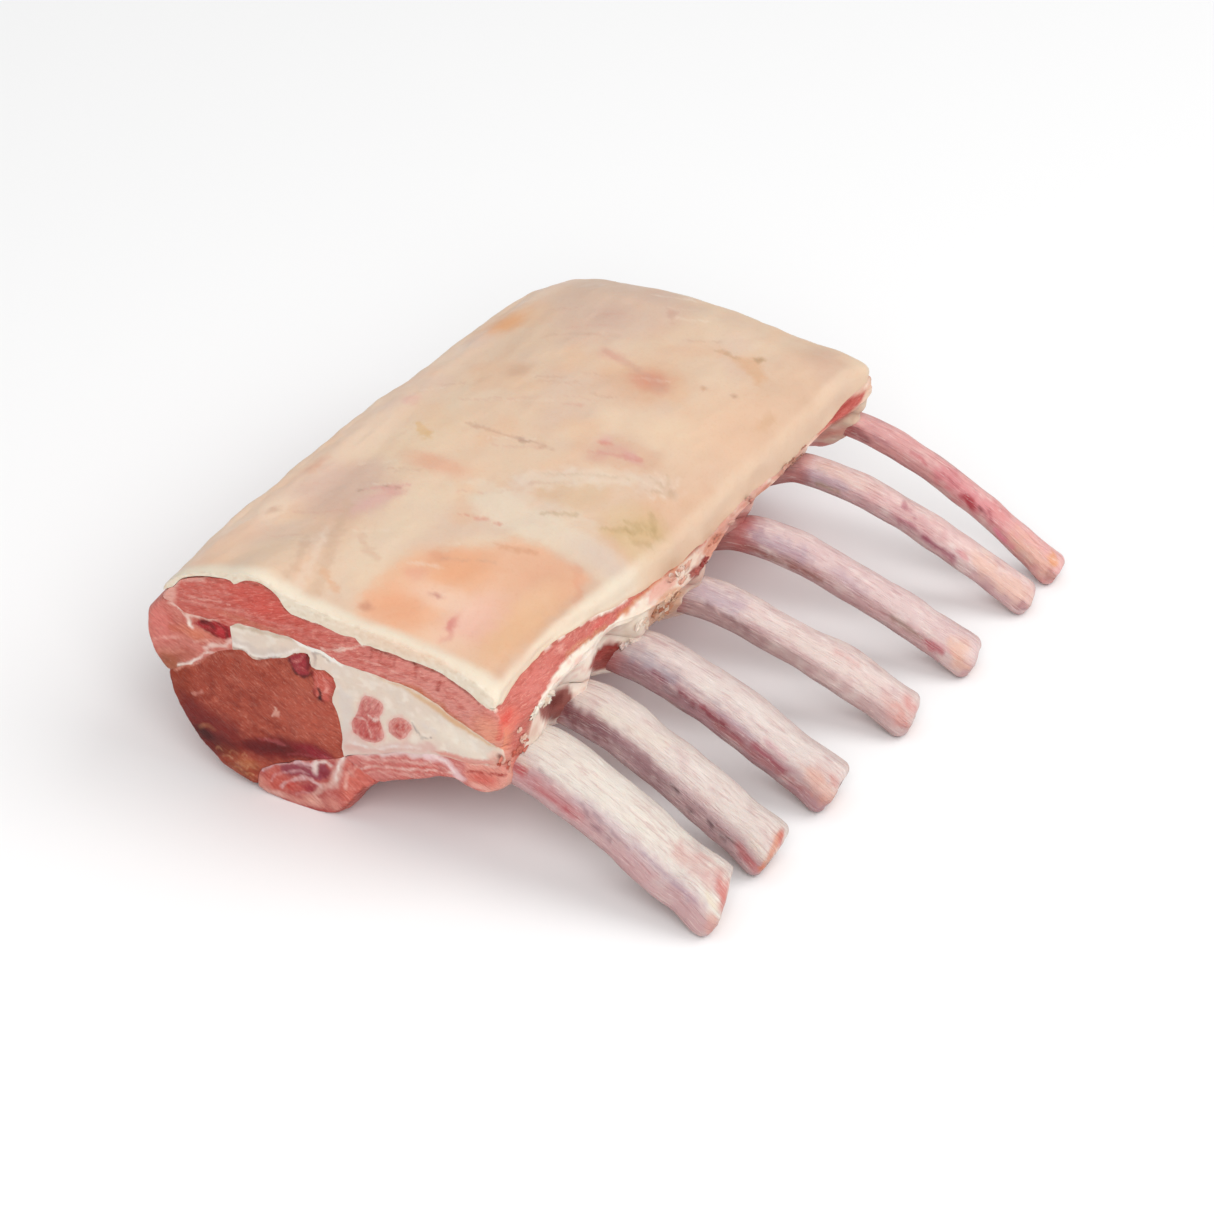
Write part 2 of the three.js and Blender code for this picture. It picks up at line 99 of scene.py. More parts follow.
CORNER = {
    "skinLeft": (-44.6, 47.6), "capLeft": (-45.4, 45.6), "eyeLeft": (-44.8, 25.6),
    "chineLeft": (-20.4, 1.2), "chineRight": (13.4, 13.4), "eyeFoot": (4.2, 17.8),
    "spineRight": (-26.2, 43.8), "spineFoot": (-25.6, 37.6), "ribRight": (48.6, 30.4),
    "seamRight": (48.4, 34.6), "skinRight": (47.4, 44.6),
}

# From corner, to corner, the points between them, and whether the stretch is open to the air.
OUTLINE = {
    "skin": ("skinLeft", "skinRight", [
        (-44.2, 49.4), (-41.6, 52.4), (-36, 55.6), (-28, 57.8), (-19.5, 60), (-10, 57.6),
        (2, 55.4), (20, 54.2), (34, 52.6), (42.5, 50.4), (46.8, 47.6)], True),
    "fatUnderside": ("skinLeft", "skinRight", [
        (-41.4, 49.8), (-39.4, 52), (-36, 54), (-32, 55.1), (-28, 56), (-25.4, 56.3), (-24.3, 55.6),
        (-22.6, 56.7), (-20.6, 57.7), (-18.4, 58.1), (-15.4, 57.5), (-13, 56.2), (-11.2, 54.3),
        (-9.4, 53), (-6.6, 52.4), (-3, 52.2), (1, 51.8), (5, 51.2), (8.4, 51.5), (9.4, 50.3),
        (11.8, 50.5), (20, 50.3), (30, 49.7), (35, 48.6), (40, 46.7), (44, 45.2)], False),
    "capEdgeLeft": ("skinLeft", "capLeft", [], True),
    "capUndersideLeft": ("capLeft", "spineRight", [
        (-41, 45.1), (-38.6, 43.9), (-34, 43.8), (-30, 44.3)], False),
    "capUndersideRight": ("spineRight", "seamRight", [
        (-24.6, 45.2), (-20, 45.7), (-12, 45.9), (-8.4, 46.1), (-5, 45.2), (0, 44.9), (4, 43.7),
        (10, 43.2), (19, 42.8), (25, 42.1), (30, 40.7), (35, 38.5), (40, 36.9), (44, 35.6)], False),
    "spineOuter": ("capLeft", "eyeLeft", [(-49, 42), (-49.9, 36.8), (-48, 30.6)], True),
    "spineInner": ("spineRight", "spineFoot", [], False),
    "spineUnderside": ("eyeLeft", "spineFoot", [
        (-42, 27.3), (-38, 29.4), (-35, 31.3), (-32.4, 34), (-29.4, 36.1)], False),
    "eyeOuter": ("eyeLeft", "chineLeft", [(-42.2, 19.3), (-38.6, 12.6), (-32.4, 6), (-26, 2.6)], True),
    "eyeTop": ("spineFoot", "eyeFoot", [
        (-22.4, 38.2), (-19.6, 36.9), (-17.2, 37.6), (-14, 39), (-10.8, 40.2), (-9.2, 41.6),
        (-7, 42.5), (-4.8, 43), (-4.1, 41.8), (-4.3, 40.1), (-2.6, 39.6), (-0.2, 39.8), (1.7, 38.8),
        (2.5, 36.4), (2, 33.8), (1.8, 31.8), (2.9, 29.6), (3.5, 26.4), (4.1, 23), (3.9, 20.2)], False),
    "eyeUnderside": ("eyeFoot", "chineLeft", [(-3, 14.6), (-12, 10.6), (-18.6, 6.4)], False),
    "chineOuter": ("chineLeft", "chineRight", [(-17.6, 0), (0.6, 0), (4.4, 2.8), (9, 9.2)], True),
    "chineInner": ("eyeFoot", "chineRight", [], False),
    "ribMeatTop": ("eyeFoot", "ribRight", [(15.5, 22.5), (28.7, 26.4), (39, 27.6)], False),
    "ribMeatUnderside": ("chineRight", "ribRight", [
        (24, 17.6), (34.4, 21.2), (39.5, 20), (44.6, 21.4), (48.4, 25.4)], True),
    "seamEdge": ("ribRight", "seamRight", [], True),
    "capEdgeRight": ("seamRight", "skinRight", [(48.6, 40)], True),
}

# The two strips of lean that run through the seam fat.
LEAN_LOOPS = {
    "lean_strip_inner": [
        (7, 25.6), (6.9, 28), (8.2, 31), (8.9, 34), (10, 36.4), (12.4, 36.8), (15, 36.2),
        (15.5, 34.2), (14.5, 32), (15.2, 29.8), (15.5, 26.9), (14.2, 25.3), (11.8, 24.3), (9, 24.6)],
    "lean_strip_outer": [
        (16.8, 28.8), (16.9, 30.6), (17.7, 32.5), (20, 33.9), (21.7, 33.2), (22.8, 31.8), (22.2, 30.2),
        (21.4, 28.5), (19.5, 27.5)],
}

# The outlines round each layer; a minus sign turns one round.
LAYERS = {
    "fat_cap": ["skin", "-fatUnderside"],
    "cap_muscle": ["fatUnderside", "-capEdgeRight", "-capUndersideRight", "-capUndersideLeft",
                   "-capEdgeLeft"],
    "spine_muscle": ["capUndersideLeft", "spineInner", "-spineUnderside", "-spineOuter"],
    "seam_fat": ["capUndersideRight", "-seamEdge", "-ribMeatTop", "-eyeTop", "-spineInner"],
    "eye_muscle": ["spineUnderside", "eyeTop", "eyeUnderside", "-eyeOuter"],
    "chine_meat": ["-eyeUnderside", "chineInner", "-chineOuter"],
    "rib_meat": ["ribMeatTop", "-ribMeatUnderside", "-chineInner"],
}

# ---------- Small helpers ----------


def ramp(value, low, high):
    """0 up to the first value and 1 from the second on, with a straight slope between them."""
    return np.clip((value - low) / (high - low), 0, 1)


def smoothstep(value, low, high):
    share = ramp(value, low, high)
    return share * share * (3 - 2 * share)


def hump(value, centre, reach):
    """1 at the centre, dying out at the given reach."""
    return 1 - smoothstep(np.abs(value - centre), 0, reach)


def lerp(a, b, share):
    return a + (b - a) * share


def smooth_through(knots, values):
    """A smooth function through (knot, value) pairs, level past both ends."""
    knots = np.asarray(knots, float)
    values = np.asarray(values, float)
    if len(knots) == 2:
        return lambda at: np.interp(at, knots, values)
    slopes = np.gradient(values, knots)

    def at(where):
        where = np.clip(where, knots[0], knots[-1])
        i = np.clip(np.searchsorted(knots, where) - 1, 0, len(knots) - 2)
        span = knots[i + 1] - knots[i]
        t = (where - knots[i]) / span
        start = (1 + 2 * t) * (1 - t) ** 2 * values[i] + t * (1 - t) ** 2 * span * slopes[i]
        end = t * t * (3 - 2 * t) * values[i + 1] - t * t * (1 - t) * span * slopes[i + 1]
        return start + end

    return at


def profile(*pairs):
    return smooth_through(*zip(*pairs))


NOISE_TABLE = 4096
HASH_FACTORS = (73856093, 19349663, 83492791)
NOISE_GAIN = 1.6  # brings the noise to about -1 to 1
SEED_SHIFT = 7.31  # cells between the places that two seeds look at
noise_slopes = np.random.default_rng(20).normal(size=(NOISE_TABLE, 3))
noise_slopes /= np.linalg.norm(noise_slopes, axis=1)[:, None]


def noise(points, size, seed=0):
    """Gradient noise, about -1 to 1, with lumps of the given size, or sizes along X, Y and Z."""
    scaled = points / np.asarray(size, float) + seed * SEED_SHIFT
    cell = np.floor(scaled).astype(np.int64)
    inside = scaled - cell
    fade = inside ** 3 * (inside * (inside * 6 - 15) + 10)
    total = np.zeros(len(points))
    for corner in np.ndindex(2, 2, 2):
        hashed = (cell + corner) * HASH_FACTORS
        slope = noise_slopes[(hashed[:, 0] ^ hashed[:, 1] ^ hashed[:, 2]) % NOISE_TABLE]
        weight = np.prod(np.where(corner, fade, 1 - fade), axis=1)
        total += weight * np.einsum("ij,ij->i", slope, inside - corner)
    return total * NOISE_GAIN


def rough_noise(points, size, octaves=3, seed=0):
    """Noise with finer noise on top, half as large and half as high each time."""
    size = np.asarray(size, float)
    return sum(noise(points, size / 2 ** k, seed + 3 * k) / 2 ** k for k in range(octaves))


# ---------- How the section changes along the backbone ----------

# The height of the skin over X, at three places. The first is the skin of the section itself.
skin_at_near = profile(*OUTLINE["skin"][2])
skin_at_middle = profile(
    (-44.2, 51.8), (-38, 54.9), (-28, 56), (-16, 57.4), (0, 57), (16, 56), (30, 54.6), (40, 52.2),
    (47, 49.2))
skin_at_far = profile(
    (-44.2, 47.6), (-38, 51.6), (-31, 54), (-22, 56), (-10, 57), (6, 56.4), (20, 55.4),
    (34, 53.4), (42, 51.8), (47, 50))
# What changes over Y: how far the edge of the fat and the foot of the rib side move out and up, and
# how much of its thickness the cap muscle keeps.
fat_edge_shift = profile(
    (-90, 0), (-80, -2.2), (-66, -2.2), (-52, -1), (-35, -0.6), (62, -0.6), (76, 0), (88, 1.2))
foot_shift = profile(
    (-90, 0), (-84, 1.6), (-70, 2.4), (-56, 2.4), (-42, 0.6), (-30, 2.2), (-12, 3.6), (14, 0.2),
    (40, -1.2), (70, -1.4), (80, 1), (88, 1.4))
fat_edge_rise = profile(
    (-90, 0), (-84, 1.4), (-76, 2.2), (-62, 2.2), (-52, 0.9), (-43, -0.8), (-30, -3.9),
    (-18, -5.4), (6, -7.4), (25, -7), (40, -8.4), (54, -8), (64, -7.2), (71, -6), (80, -3.6),
    (88, -0.8))
foot_rise = profile(
    (-30, 0), (-12, 0), (14, 1.8), (41, 6.4), (70, 6.4), (80, 7), (88, 7))
cap_share = profile(
    (-90, 1), (-84, 0.74), (-76, 0.56), (-55, 0.48), (-30, 0.32), (-8, 0.16), (60, 0.16),
    (78, 0.55), (88, 0.45))


def beside_rib(y):
    """1 where the meat keeps to a rib, 0 where it is scooped back between two."""
    return np.max([hump(y, r["exit_y"] + CLING, r["width"] / 2 + CLING_REACH) for r in RIBS], axis=0)


def place(x, z, y):
    """Where a point of the section lies at a place along the backbone."""
    near_weight = 1 - smoothstep(y, NEAR_Y, NEAR_Y + NEAR_REACH)
    settled = lerp(skin_at_middle(x), skin_at_far(x), smoothstep(y, -30, 76))
    rounded = settled - END_DROP * smoothstep(y, 74, 90)
    skin = lerp(rounded, skin_at_near(x), near_weight)
    height_share = np.clip(z / skin_at_near(x), 0, 1)
    relief = SKIN_RELIEF * np.sin(0.09 * x + 1.3) * np.sin(0.075 * y + 0.04 * x)
    new_z = z + height_share * (skin - skin_at_near(x) + relief * (1 - near_weight))

    # The cap muscle thins towards the rib side, and the fat seam below fills its room.
    cap_top = CORNER["skinRight"][1]
    cap_foot = CORNER["seamRight"][1]
    thinning = (cap_top - cap_foot) * (1 - cap_share(y))
    lift_share = np.where(z > cap_foot, ramp(z, cap_top, cap_foot), ramp(z, SEAM_FOOT, cap_foot))
    lifted = smoothstep(x, 8, 46) * lift_share * thinning

    # Towards the loin end the fat drapes lower over the ribs, and the foot below it rises.
    downward = ramp(z + lifted, cap_top, SIDE_FOOT)
    upward = ramp(z, cap_top, cap_top + RIM_HEIGHT)
    side_rise = lerp(fat_edge_rise(y), foot_rise(y), downward)
    new_z = new_z + lifted + smoothstep(x, 28, 47) * (1 - upward) * side_rise

    # The side by the ribs follows its trimmed edges, and is scooped back between the ribs.
    outward = ramp(x, 20, 47.5)
    lowest = ramp(z, 35, 30)
    scooped = (1 - beside_rib(y)) * (1 - near_weight)
    tucked = TUCK * smoothstep(z, 33, 28) * (1 - near_weight)
    new_x = x + outward * lerp(fat_edge_shift(y), foot_shift(y), ramp(z, 45, 38))
    new_x = new_x - outward ** 2 * (lowest * SCALLOP_DEPTH * scooped + tucked * (1 - scooped))
    new_z = new_z + outward ** 2 * lowest * SCALLOP_RISE * scooped

    # The loin end is a little narrower on the spine side.
    new_x = new_x + ramp(x, 20, -44) ** 2 * FAR_NARROWING * smoothstep(y, 55, FAR_Y)
    return new_x, new_z


def along(x, z, share):
    """Where a point of the section lies along the backbone, 0 at the near face to 1 at the far one."""
    in_corner = hump(x, FAT_CORNER_X, FAT_CORNER_REACH) * hump(z, FAT_CORNER_Z, FAT_CORNER_REACH)
    near_y = NEAR_Y - CORNER_PULL * in_corner
    by_ribs = smoothstep(x, 26, 46)
    slant = FAR_SLANT * smoothstep(x, -10, 46) * smoothstep(z, 26, 44)
    set_in = slant + FAR_SET_IN * by_ribs * (1 - smoothstep(z, 41, 45))
    far_y = FAR_Y - FAR_LEAN * (1 - 0.8 * by_ribs) * np.maximum(0, z - LEAN_START) - set_in
    return lerp(near_y, far_y, share)


def rags(spots, wave_height, seed):
    """How far an outline strays: waves of the given height, with finer rags on them."""
    return wave_height * noise(spots, WAVE_SIZE, seed) + RAG_HEIGHT * noise(spots, RAG_SIZE, seed + 1)


def carry(home):
    """Section points with a share along the backbone (x, share, z) to their places on the rack."""
    x, share, z = home.T
    y = lerp(NEAR_Y, FAR_Y, share)
    # The outlines stray everywhere but on the table, less just under the skin, and in long waves.
    spots = np.stack([x, y * WAVE_SQUEEZE, z], axis=1)
    off_table = smoothstep(z, 0, 4)
    under_skin = 0.3 + 0.7 * smoothstep(skin_at_near(x) - z, 0, 1.4)
    ragged_x = x + rags(spots, WAVE_X, 1) * off_table
    ragged_z = z + rags(spots, WAVE_Z, 3) * off_table * under_skin
    new_x, new_z = place(ragged_x, ragged_z, y)
    return np.stack([new_x, along(x, z, share), new_z], axis=1)


# ---------- Meshes ----------


def curve_points(points, step):
    """A smooth curve through the points, sampled about `step` apart, up to but not with its end."""
    points = np.asarray(points, float)
    lengths = np.linalg.norm(np.diff(points, axis=0), axis=1)
    knots = np.concatenate([[0], np.cumsum(lengths)])
    count = max(1, round(knots[-1] / step))
    where = np.linspace(0, knots[-1], count, endpoint=False)
    return np.stack([smooth_through(knots, points[:, k])(where) for k in range(2)], axis=1)


def outline_points(name):
    backwards = name.startswith("-")
    start, end, between, is_open = OUTLINE[name.lstrip("-")]
    points = [CORNER[start], *between, CORNER[end]]
    if backwards:
        points.reverse()
    return curve_points(points, OPEN_STEP if is_open else HIDDEN_STEP)


def loop_area(loop):
    x, z = loop.T
    return 0.5 * np.sum(x * np.roll(z, -1) - np.roll(x, -1) * z)


def turned(loop, anticlockwise):
    return loop if (loop_area(loop) > 0) == anticlockwise else loop[::-1]


def inside_loops(points, loops):
    """Even-odd test: True where a point lies in the first loop and in none of its holes."""
    inside = np.zeros(len(points), bool)
    for loop in loops:
        following = np.roll(loop, -1, axis=0)
        for (ax, az), (bx, bz) in zip(loop, following):
            crosses = (az > points[:, 1]) != (bz > points[:, 1])
            if crosses.any():
                reach = ax + (points[:, 1] - az) * (bx - ax) / ((bz - az) or 1e-9)
                inside ^= crosses & (points[:, 0] < reach)
    return inside


def distance_to(points, line):
    """Distance from each point to the nearest point of a densely sampled line."""
    nearest = np.full(len(points), np.inf)
    for start in range(0, len(line), 256):
        part = line[start:start + 256]
        gaps = points[:, None, :] - part[None, :, :]
        nearest = np.minimum(nearest, np.sqrt((gaps ** 2).sum(axis=2)).min(axis=1))
    return nearest


ROW_SHARE = 0.866  # height of an even triangle over its side
GRID_JITTER = 0.18  # how far grid points are moved at random, as a share of FACE_STEP
BORDER_SHARE = 0.55  # how far grid points keep from the border, as a share of FACE_STEP


def face_grid(loops, seed):
    """Points and triangles that fill the loops: the loops' own points first, then a loose grid."""
    border = np.concatenate(loops)
    low, high = border.min(axis=0), border.max(axis=0)
    rows = np.arange(low[1], high[1], FACE_STEP * ROW_SHARE)
    columns = np.arange(low[0], high[0], FACE_STEP)
    grid = np.array([(x + (j % 2) * FACE_STEP / 2, z) for j, z in enumerate(rows) for x in columns])
    grid += np.random.default_rng(seed).uniform(-GRID_JITTER, GRID_JITTER, grid.shape) * FACE_STEP
    grid = grid[inside_loops(grid, loops)]
    grid = grid[distance_to(grid, border) > FACE_STEP * BORDER_SHARE]
    points = np.concatenate([border, grid])
    edges = []
    start = 0
    for loop in loops:
        edges += [(start + i, start + (i + 1) % len(loop)) for i in range(len(loop))]
        start += len(loop)
    result = delaunay_2d_cdt([Vector(p) for p in points], edges, [], 1, 1e-6)
    source = [origins[0] for origins in result[3]]
    triangles = np.array([[source[v] for v in face] for face in result[2]])
    middles = points[triangles].mean(axis=1)
    triangles = triangles[inside_loops(middles, loops)]
    a, b, c = (points[triangles[:, k]] for k in range(3))
    area = (b - a)[:, 0] * (c - a)[:, 1] - (b - a)[:, 1] * (c - a)[:, 0]
    triangles[area < 0] = triangles[area < 0][:, ::-1]
    return points, triangles


def ring_quads(first, second):
    """Quads between two rings of point numbers."""
    return np.stack([first, np.roll(first, -1), np.roll(second, -1), second], axis=1)


def ring_fan(ring, hub, forward):
    """Triangles from a ring of point numbers to the one in its middle."""
    pair = (ring, np.roll(ring, -1)) if forward else (np.roll(ring, -1), ring)
    return np.stack([*pair, np.full(len(ring), hub)], axis=1)


class Body:
    """A growing mesh: points, quads and triangles, with the values that are kept at each point."""

    def __init__(self):
        self.points = np.zeros((0, 3))
        self.quads = np.zeros((0, 4), int)
        self.triangles = np.zeros((0, 3), int)
        self.values = {}

    def add(self, points, quads=(), triangles=(), **values):
        start = len(self.points)
        for name, value in values.items():
            value = np.asarray(value, float)
            shape = (start, *value.shape[1:])
            self.values[name] = np.concatenate([self.values.get(name, np.zeros(shape)), value])
        self.points = np.concatenate([self.points, points])
        if len(quads):
            self.quads = np.concatenate([self.quads, np.asarray(quads) + start])
        if len(triangles):
            self.triangles = np.concatenate([self.triangles, np.asarray(triangles) + start])

    def normals(self):
        total = np.zeros_like(self.points)
        a, b, c, d = (self.points[self.quads[:, k]] for k in range(4))
        of_quads = np.cross(c - a, d - b)
        a, b, c = (self.points[self.triangles[:, k]] for k in range(3))
        of_triangles = np.cross(b - a, c - a)
        for faces, normal in ((self.quads, of_quads), (self.triangles, of_triangles)):
            for k in range(faces.shape[1]):
                for axis in range(3):
                    total[:, axis] += np.bincount(faces[:, k], normal[:, axis], len(total))
        return total / np.maximum(np.linalg.norm(total, axis=1), 1e-12)[:, None]

    def relax(self, rounds, amount, weight=None):
        """Draws each point towards the middle of its neighbours."""
        pairs = [self.quads[:, [k, (k + 1) % 4]] for k in range(4)]
        pairs += [self.triangles[:, [k, (k + 1) % 3]] for k in range(3)]
        pairs = np.concatenate([p for p in pairs if len(p)])
        a, b = pairs.T
        count = len(self.points)
        neighbours = np.maximum(np.bincount(a, minlength=count) + np.bincount(b, minlength=count), 1)
        pull = amount if weight is None else amount * weight[:, None]
        for _ in range(rounds):
            total = np.zeros_like(self.points)
            for axis in range(3):
                total[:, axis] += np.bincount(a, self.points[b, axis], count)
                total[:, axis] += np.bincount(b, self.points[a, axis], count)
            self.points = self.points + pull * (total / neighbours[:, None] - self.points)

    def raise_by(self, height):
        self.points = self.points + self.normals() * np.asarray(height)[:, None]

    def to_object(self, name, node, slot_name, material):
        self.points[:, 2] = np.maximum(self.points[:, 2], 0)
        mesh = bpy.data.meshes.new(name)
        faces = [*self.quads.tolist(), *self.triangles.tolist()]
        mesh.from_pydata((self.points + SECTION_TO_ROW) / 1000, [], faces)
        mesh.update()
        for key, value in self.values.items():
            is_vector = value.ndim == 2
            layer = mesh.attributes.new(key, "FLOAT_VECTOR" if is_vector else "FLOAT", "POINT")
            layer.data.foreach_set("vector" if is_vector else "value", value.astype(np.float32).ravel())
        mesh.shade_smooth()
        mesh.set_sharp_from_angle(angle=math.radians(SHARP_ANGLE))
        mesh.materials.append(material)
        piece = bpy.data.objects.new(name, mesh)
        bpy.context.scene.collection.objects.link(piece)
        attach(piece, "root")
        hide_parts(node)


def grown(points, spans, amount):
    """Moves loop points outwards, away from the material; each span is a loop's start and count."""
    moved = points.copy()
    for start, count in spans:
        ring = points[start:start + count]
        edge = np.roll(ring, -1, axis=0) - np.roll(ring, 1, axis=0)
        edge /= np.maximum(np.linalg.norm(edge, axis=1), 1e-9)[:, None]
        moved[start:start + count] += amount * np.stack([edge[:, 1], -edge[:, 0]], axis=1)
    return moved


def loft(loops, seed):
    """Carries closed loops of the section along the backbone and fills both cut faces.

    Each point keeps its home (section x, share along, section z), its depth (distance from the
    loops, on the cut faces) and its side: -1 near face, 0 wall, 1 far face."""
    loops = [turned(loop, anticlockwise=(k == 0)) for k, loop in enumerate(loops)]
    spans = []
    start = 0
    for loop in loops:
        spans.append((start, len(loop)))
        start += len(loop)
    border = grown(np.concatenate(loops), spans, OVERLAP)
    on_table = np.concatenate(loops)[:, 1] < 0.01
    border[on_table, 1] = 0
    loops = [border[s:s + n] for s, n in spans]
    per_ring = len(border)
    ring_count = round(LENGTH / STATION_STEP)
    shares = np.linspace(0, 1, ring_count)

    home = np.zeros((ring_count, per_ring, 3))
    home[:, :, 0] = border[:, 0]
    home[:, :, 1] = shares[:, None]
    home[:, :, 2] = border[:, 1]
    home = home.reshape(-1, 3)
    quads = []
    for s, n in spans:
        ring = s + np.arange(n)
        quads += [ring_quads(ring, ring + per_ring) + k * per_ring for k in range(ring_count - 1)]
    quads = np.concatenate(quads)

    face_points, face_triangles = face_grid(loops, seed)
    inner = face_points[per_ring:]
    inner_depth = distance_to(inner, border)
    triangles = []
    depth = [np.zeros(len(home))]
    side = [np.zeros(len(home))]
    homes = [home]
    for share, label, ring in ((0, -1, 0), (1, 1, ring_count - 1)):
        offset = sum(len(h) for h in homes)
        numbers = np.concatenate([ring * per_ring + np.arange(per_ring), offset + np.arange(len(inner))])
        faces = numbers[face_triangles]
        triangles.append(faces if label == -1 else faces[:, ::-1])
        homes.append(np.stack([inner[:, 0], np.full(len(inner), share), inner[:, 1]], axis=1))
        depth.append(inner_depth)
        side.append(np.full(len(inner), label))
    home = np.concatenate(homes)
    body = Body()
    body.add(carry(home), quads, np.concatenate(triangles), home=home,
             depth=np.concatenate(depth), side=np.concatenate(side))
    return body


# ---------- Ribs ----------

RIB_SIDES, RIB_STEPS, RIB_END_RINGS = 44, 130, 9
TIP_ROUND, TIP_RINGS = 2.4, 10  # rounding of the sawn end
TIP_NARROWER, TIP_THINNER = 2.0, 1.5  # how far it draws in the half width and half depth
SAWN_LENGTH = 6.0  # how far from the tip the slant of the cut starts
GIRTH_SHARE = 0.8  # of the way round the box that a rib's section fits in
GRAIN_APART = 20.0  # between the places in the grain that two ribs show

# The width of a rib over X, as a share of its width at the meat.
rib_width = profile((16, 0.62), (30, 0.7), (44, 0.92), (50, 1), (70, 0.94), (80, 0.96), (92, 0.98), (99, 1))


def rib_path(rib):
    """The distance along the rib, the middle and the direction, for each of its rings."""
    tip_height = rib["depth"] * 0.4
    points = np.array([
        (RIB_ROOT_X, 15.2), (22, 18.4), (30, 21.8), (38, 25), (44, 26.8), (RIB_EXIT_X, 27),
        (57, 25.4), (66, 21.4), (77, 16), (88, 10), (95, tip_height + 3.2), (RIB_TIP_X, tip_height)])
    x, z = points.T
    share = np.clip((x - RIB_EXIT_X) / (RIB_TIP_X - RIB_EXIT_X), -0.2, 1)
    arch = rib["arch"] * (1 - smoothstep(x, 60, RIB_TIP_X)) + rib["lift"] * (1 - smoothstep(x, 44, 54))
    rise = arch * smoothstep(x, 22, 42)
    y = rib["exit_y"] + (rib["tip_y"] - rib["exit_y"]) * share
    route = np.stack([x + rib["reach"] * np.maximum(share, 0), y, z + rise], axis=1)
    knots = np.concatenate([[0], np.cumsum(np.linalg.norm(np.diff(route, axis=0), axis=1))])
    end = knots[-1] - TIP_ROUND
    rounding = TIP_ROUND * np.sin(np.linspace(0, math.pi / 2, TIP_RINGS))
    where = np.concatenate([np.linspace(0, end, RIB_STEPS - TIP_RINGS, endpoint=False), end + rounding])
    centre = np.stack([smooth_through(knots, route[:, k])(where) for k in range(3)], axis=1)
    tangent = np.gradient(centre, where, axis=0)
    return where, centre, tangent / np.linalg.norm(tangent, axis=1)[:, None]


def rib_rings(rib, angle):
    """Rings of points along the rib, with the distance along it and the X of each ring."""
    where, centre, tangent = rib_path(rib)
    across = np.array([0, 1, 0]) - tangent * tangent[:, 1:2]
    across /= np.linalg.norm(across, axis=1)[:, None]
    upward = np.cross(tangent, across)
    x = centre[:, 0]
    swelling = rib["swelling"] * hump(x, rib["swelling_x"], SWELLING_REACH)
    flare = rib["flare"] * smoothstep(x, 92, RIB_TIP_X)
    depth = lerp(rib["depth"], min(RIB_DEPTH_INSIDE, rib["depth"]), 1 - smoothstep(x, 34, RIB_EXIT_X))
    to_tip = np.clip((where[-1] - where) / TIP_ROUND, 0, 1)
    drawn_in = 1 - np.sqrt(1 - (1 - to_tip) ** 2)
    half_width = rib["width"] / 2 * (rib_width(x) + swelling / 2 + flare) - TIP_NARROWER * drawn_in
    half_depth = depth / 2 * (1 + flare) - TIP_THINNER * drawn_in
    centre = centre + across * (rib["width"] / 2 * swelling / 2)[:, None]

    wide = np.sign(np.cos(angle)) * np.abs(np.cos(angle)) ** (2 / RIB_BOXINESS)
    tall = np.sign(np.sin(angle)) * np.abs(np.sin(angle)) ** (2 / RIB_BOXINESS)
    rings = (centre[:, None, :] + across[:, None, :] * (half_width[:, None] * wide)[:, :, None]
             + upward[:, None, :] * (half_depth[:, None] * tall)[:, :, None])
    cut = smoothstep(where, where[-1] - SAWN_LENGTH, where[-1]) * rib["skew"]
    return rings - tangent[:, None, :] * (cut[:, None] * wide)[:, :, None], where, x


def rib_body(number, rib):
    """A rib; its points keep their place in the grain, turn round the rib, X along it, whether they
    lie on the sawn end, and there how near to its rim."""
    angle = np.arange(RIB_SIDES) / RIB_SIDES * 2 * math.pi
    turn = (angle / (math.pi / 2) + 1) % 4 - 2  # 0 on top, 1 on the near side, -1 on the far side
    girth = angle / math.pi * (rib["width"] + rib["depth"]) * GIRTH_SHARE
    rings, where, x = rib_rings(rib, angle)
    apart = number * GRAIN_APART
    per_rib = RIB_STEPS * RIB_SIDES
    grain = [np.repeat(where, RIB_SIDES), np.tile(girth, RIB_STEPS), np.full(per_rib, apart)]
    ring = np.arange(RIB_SIDES)
    quads = [ring_quads(ring, ring + RIB_SIDES) + k * RIB_SIDES for k in range(RIB_STEPS - 1)]
    body = Body()
    body.add(rings.reshape(-1, 3), np.concatenate(quads), grain=np.stack(grain, axis=1),
             turn=np.tile(turn, RIB_STEPS), reach=np.repeat(x, RIB_SIDES),
             sawn=np.zeros(per_rib), rim=np.zeros(per_rib))

    # The sawn end, as rings that close on its middle, and the hidden root as a flat fan.
    last = rings[-1]
    middle = last.mean(axis=0)
    outer = (RIB_STEPS - 1) * RIB_SIDES + ring
    for k in range(1, RIB_END_RINGS):
        share = 1 - k / RIB_END_RINGS
        points = middle + (last - middle) * share
        inner = len(body.points) + ring
        body.quads = np.concatenate([body.quads, ring_quads(outer, inner)])
        body.add(points, grain=points - middle + apart, turn=turn,
                 reach=np.full(RIB_SIDES, x[-1]), sawn=np.ones(RIB_SIDES), rim=np.full(RIB_SIDES, share))
        outer = inner
    for border, hub, is_tip in ((outer, middle, True), (ring, rings[0].mean(axis=0), False)):
        fan = ring_fan(border, len(body.points), is_tip)
        body.triangles = np.concatenate([body.triangles, fan])
        body.add(hub[None], grain=np.zeros((1, 3)), turn=[0], reach=[x[-1] if is_tip else x[0]],
                 sawn=[float(is_tip)], rim=[0])
    return body


# ---------- Paint ----------


def colour(code):
    """A colour written as sRGB hex, as linear light."""
    shares = np.array([int(code[k:k + 2], 16) / 255 for k in (0, 2, 4)])
    return np.where(shares <= 0.04045, shares / 12.92, ((shares + 0.055) / 1.055) ** 2.4)


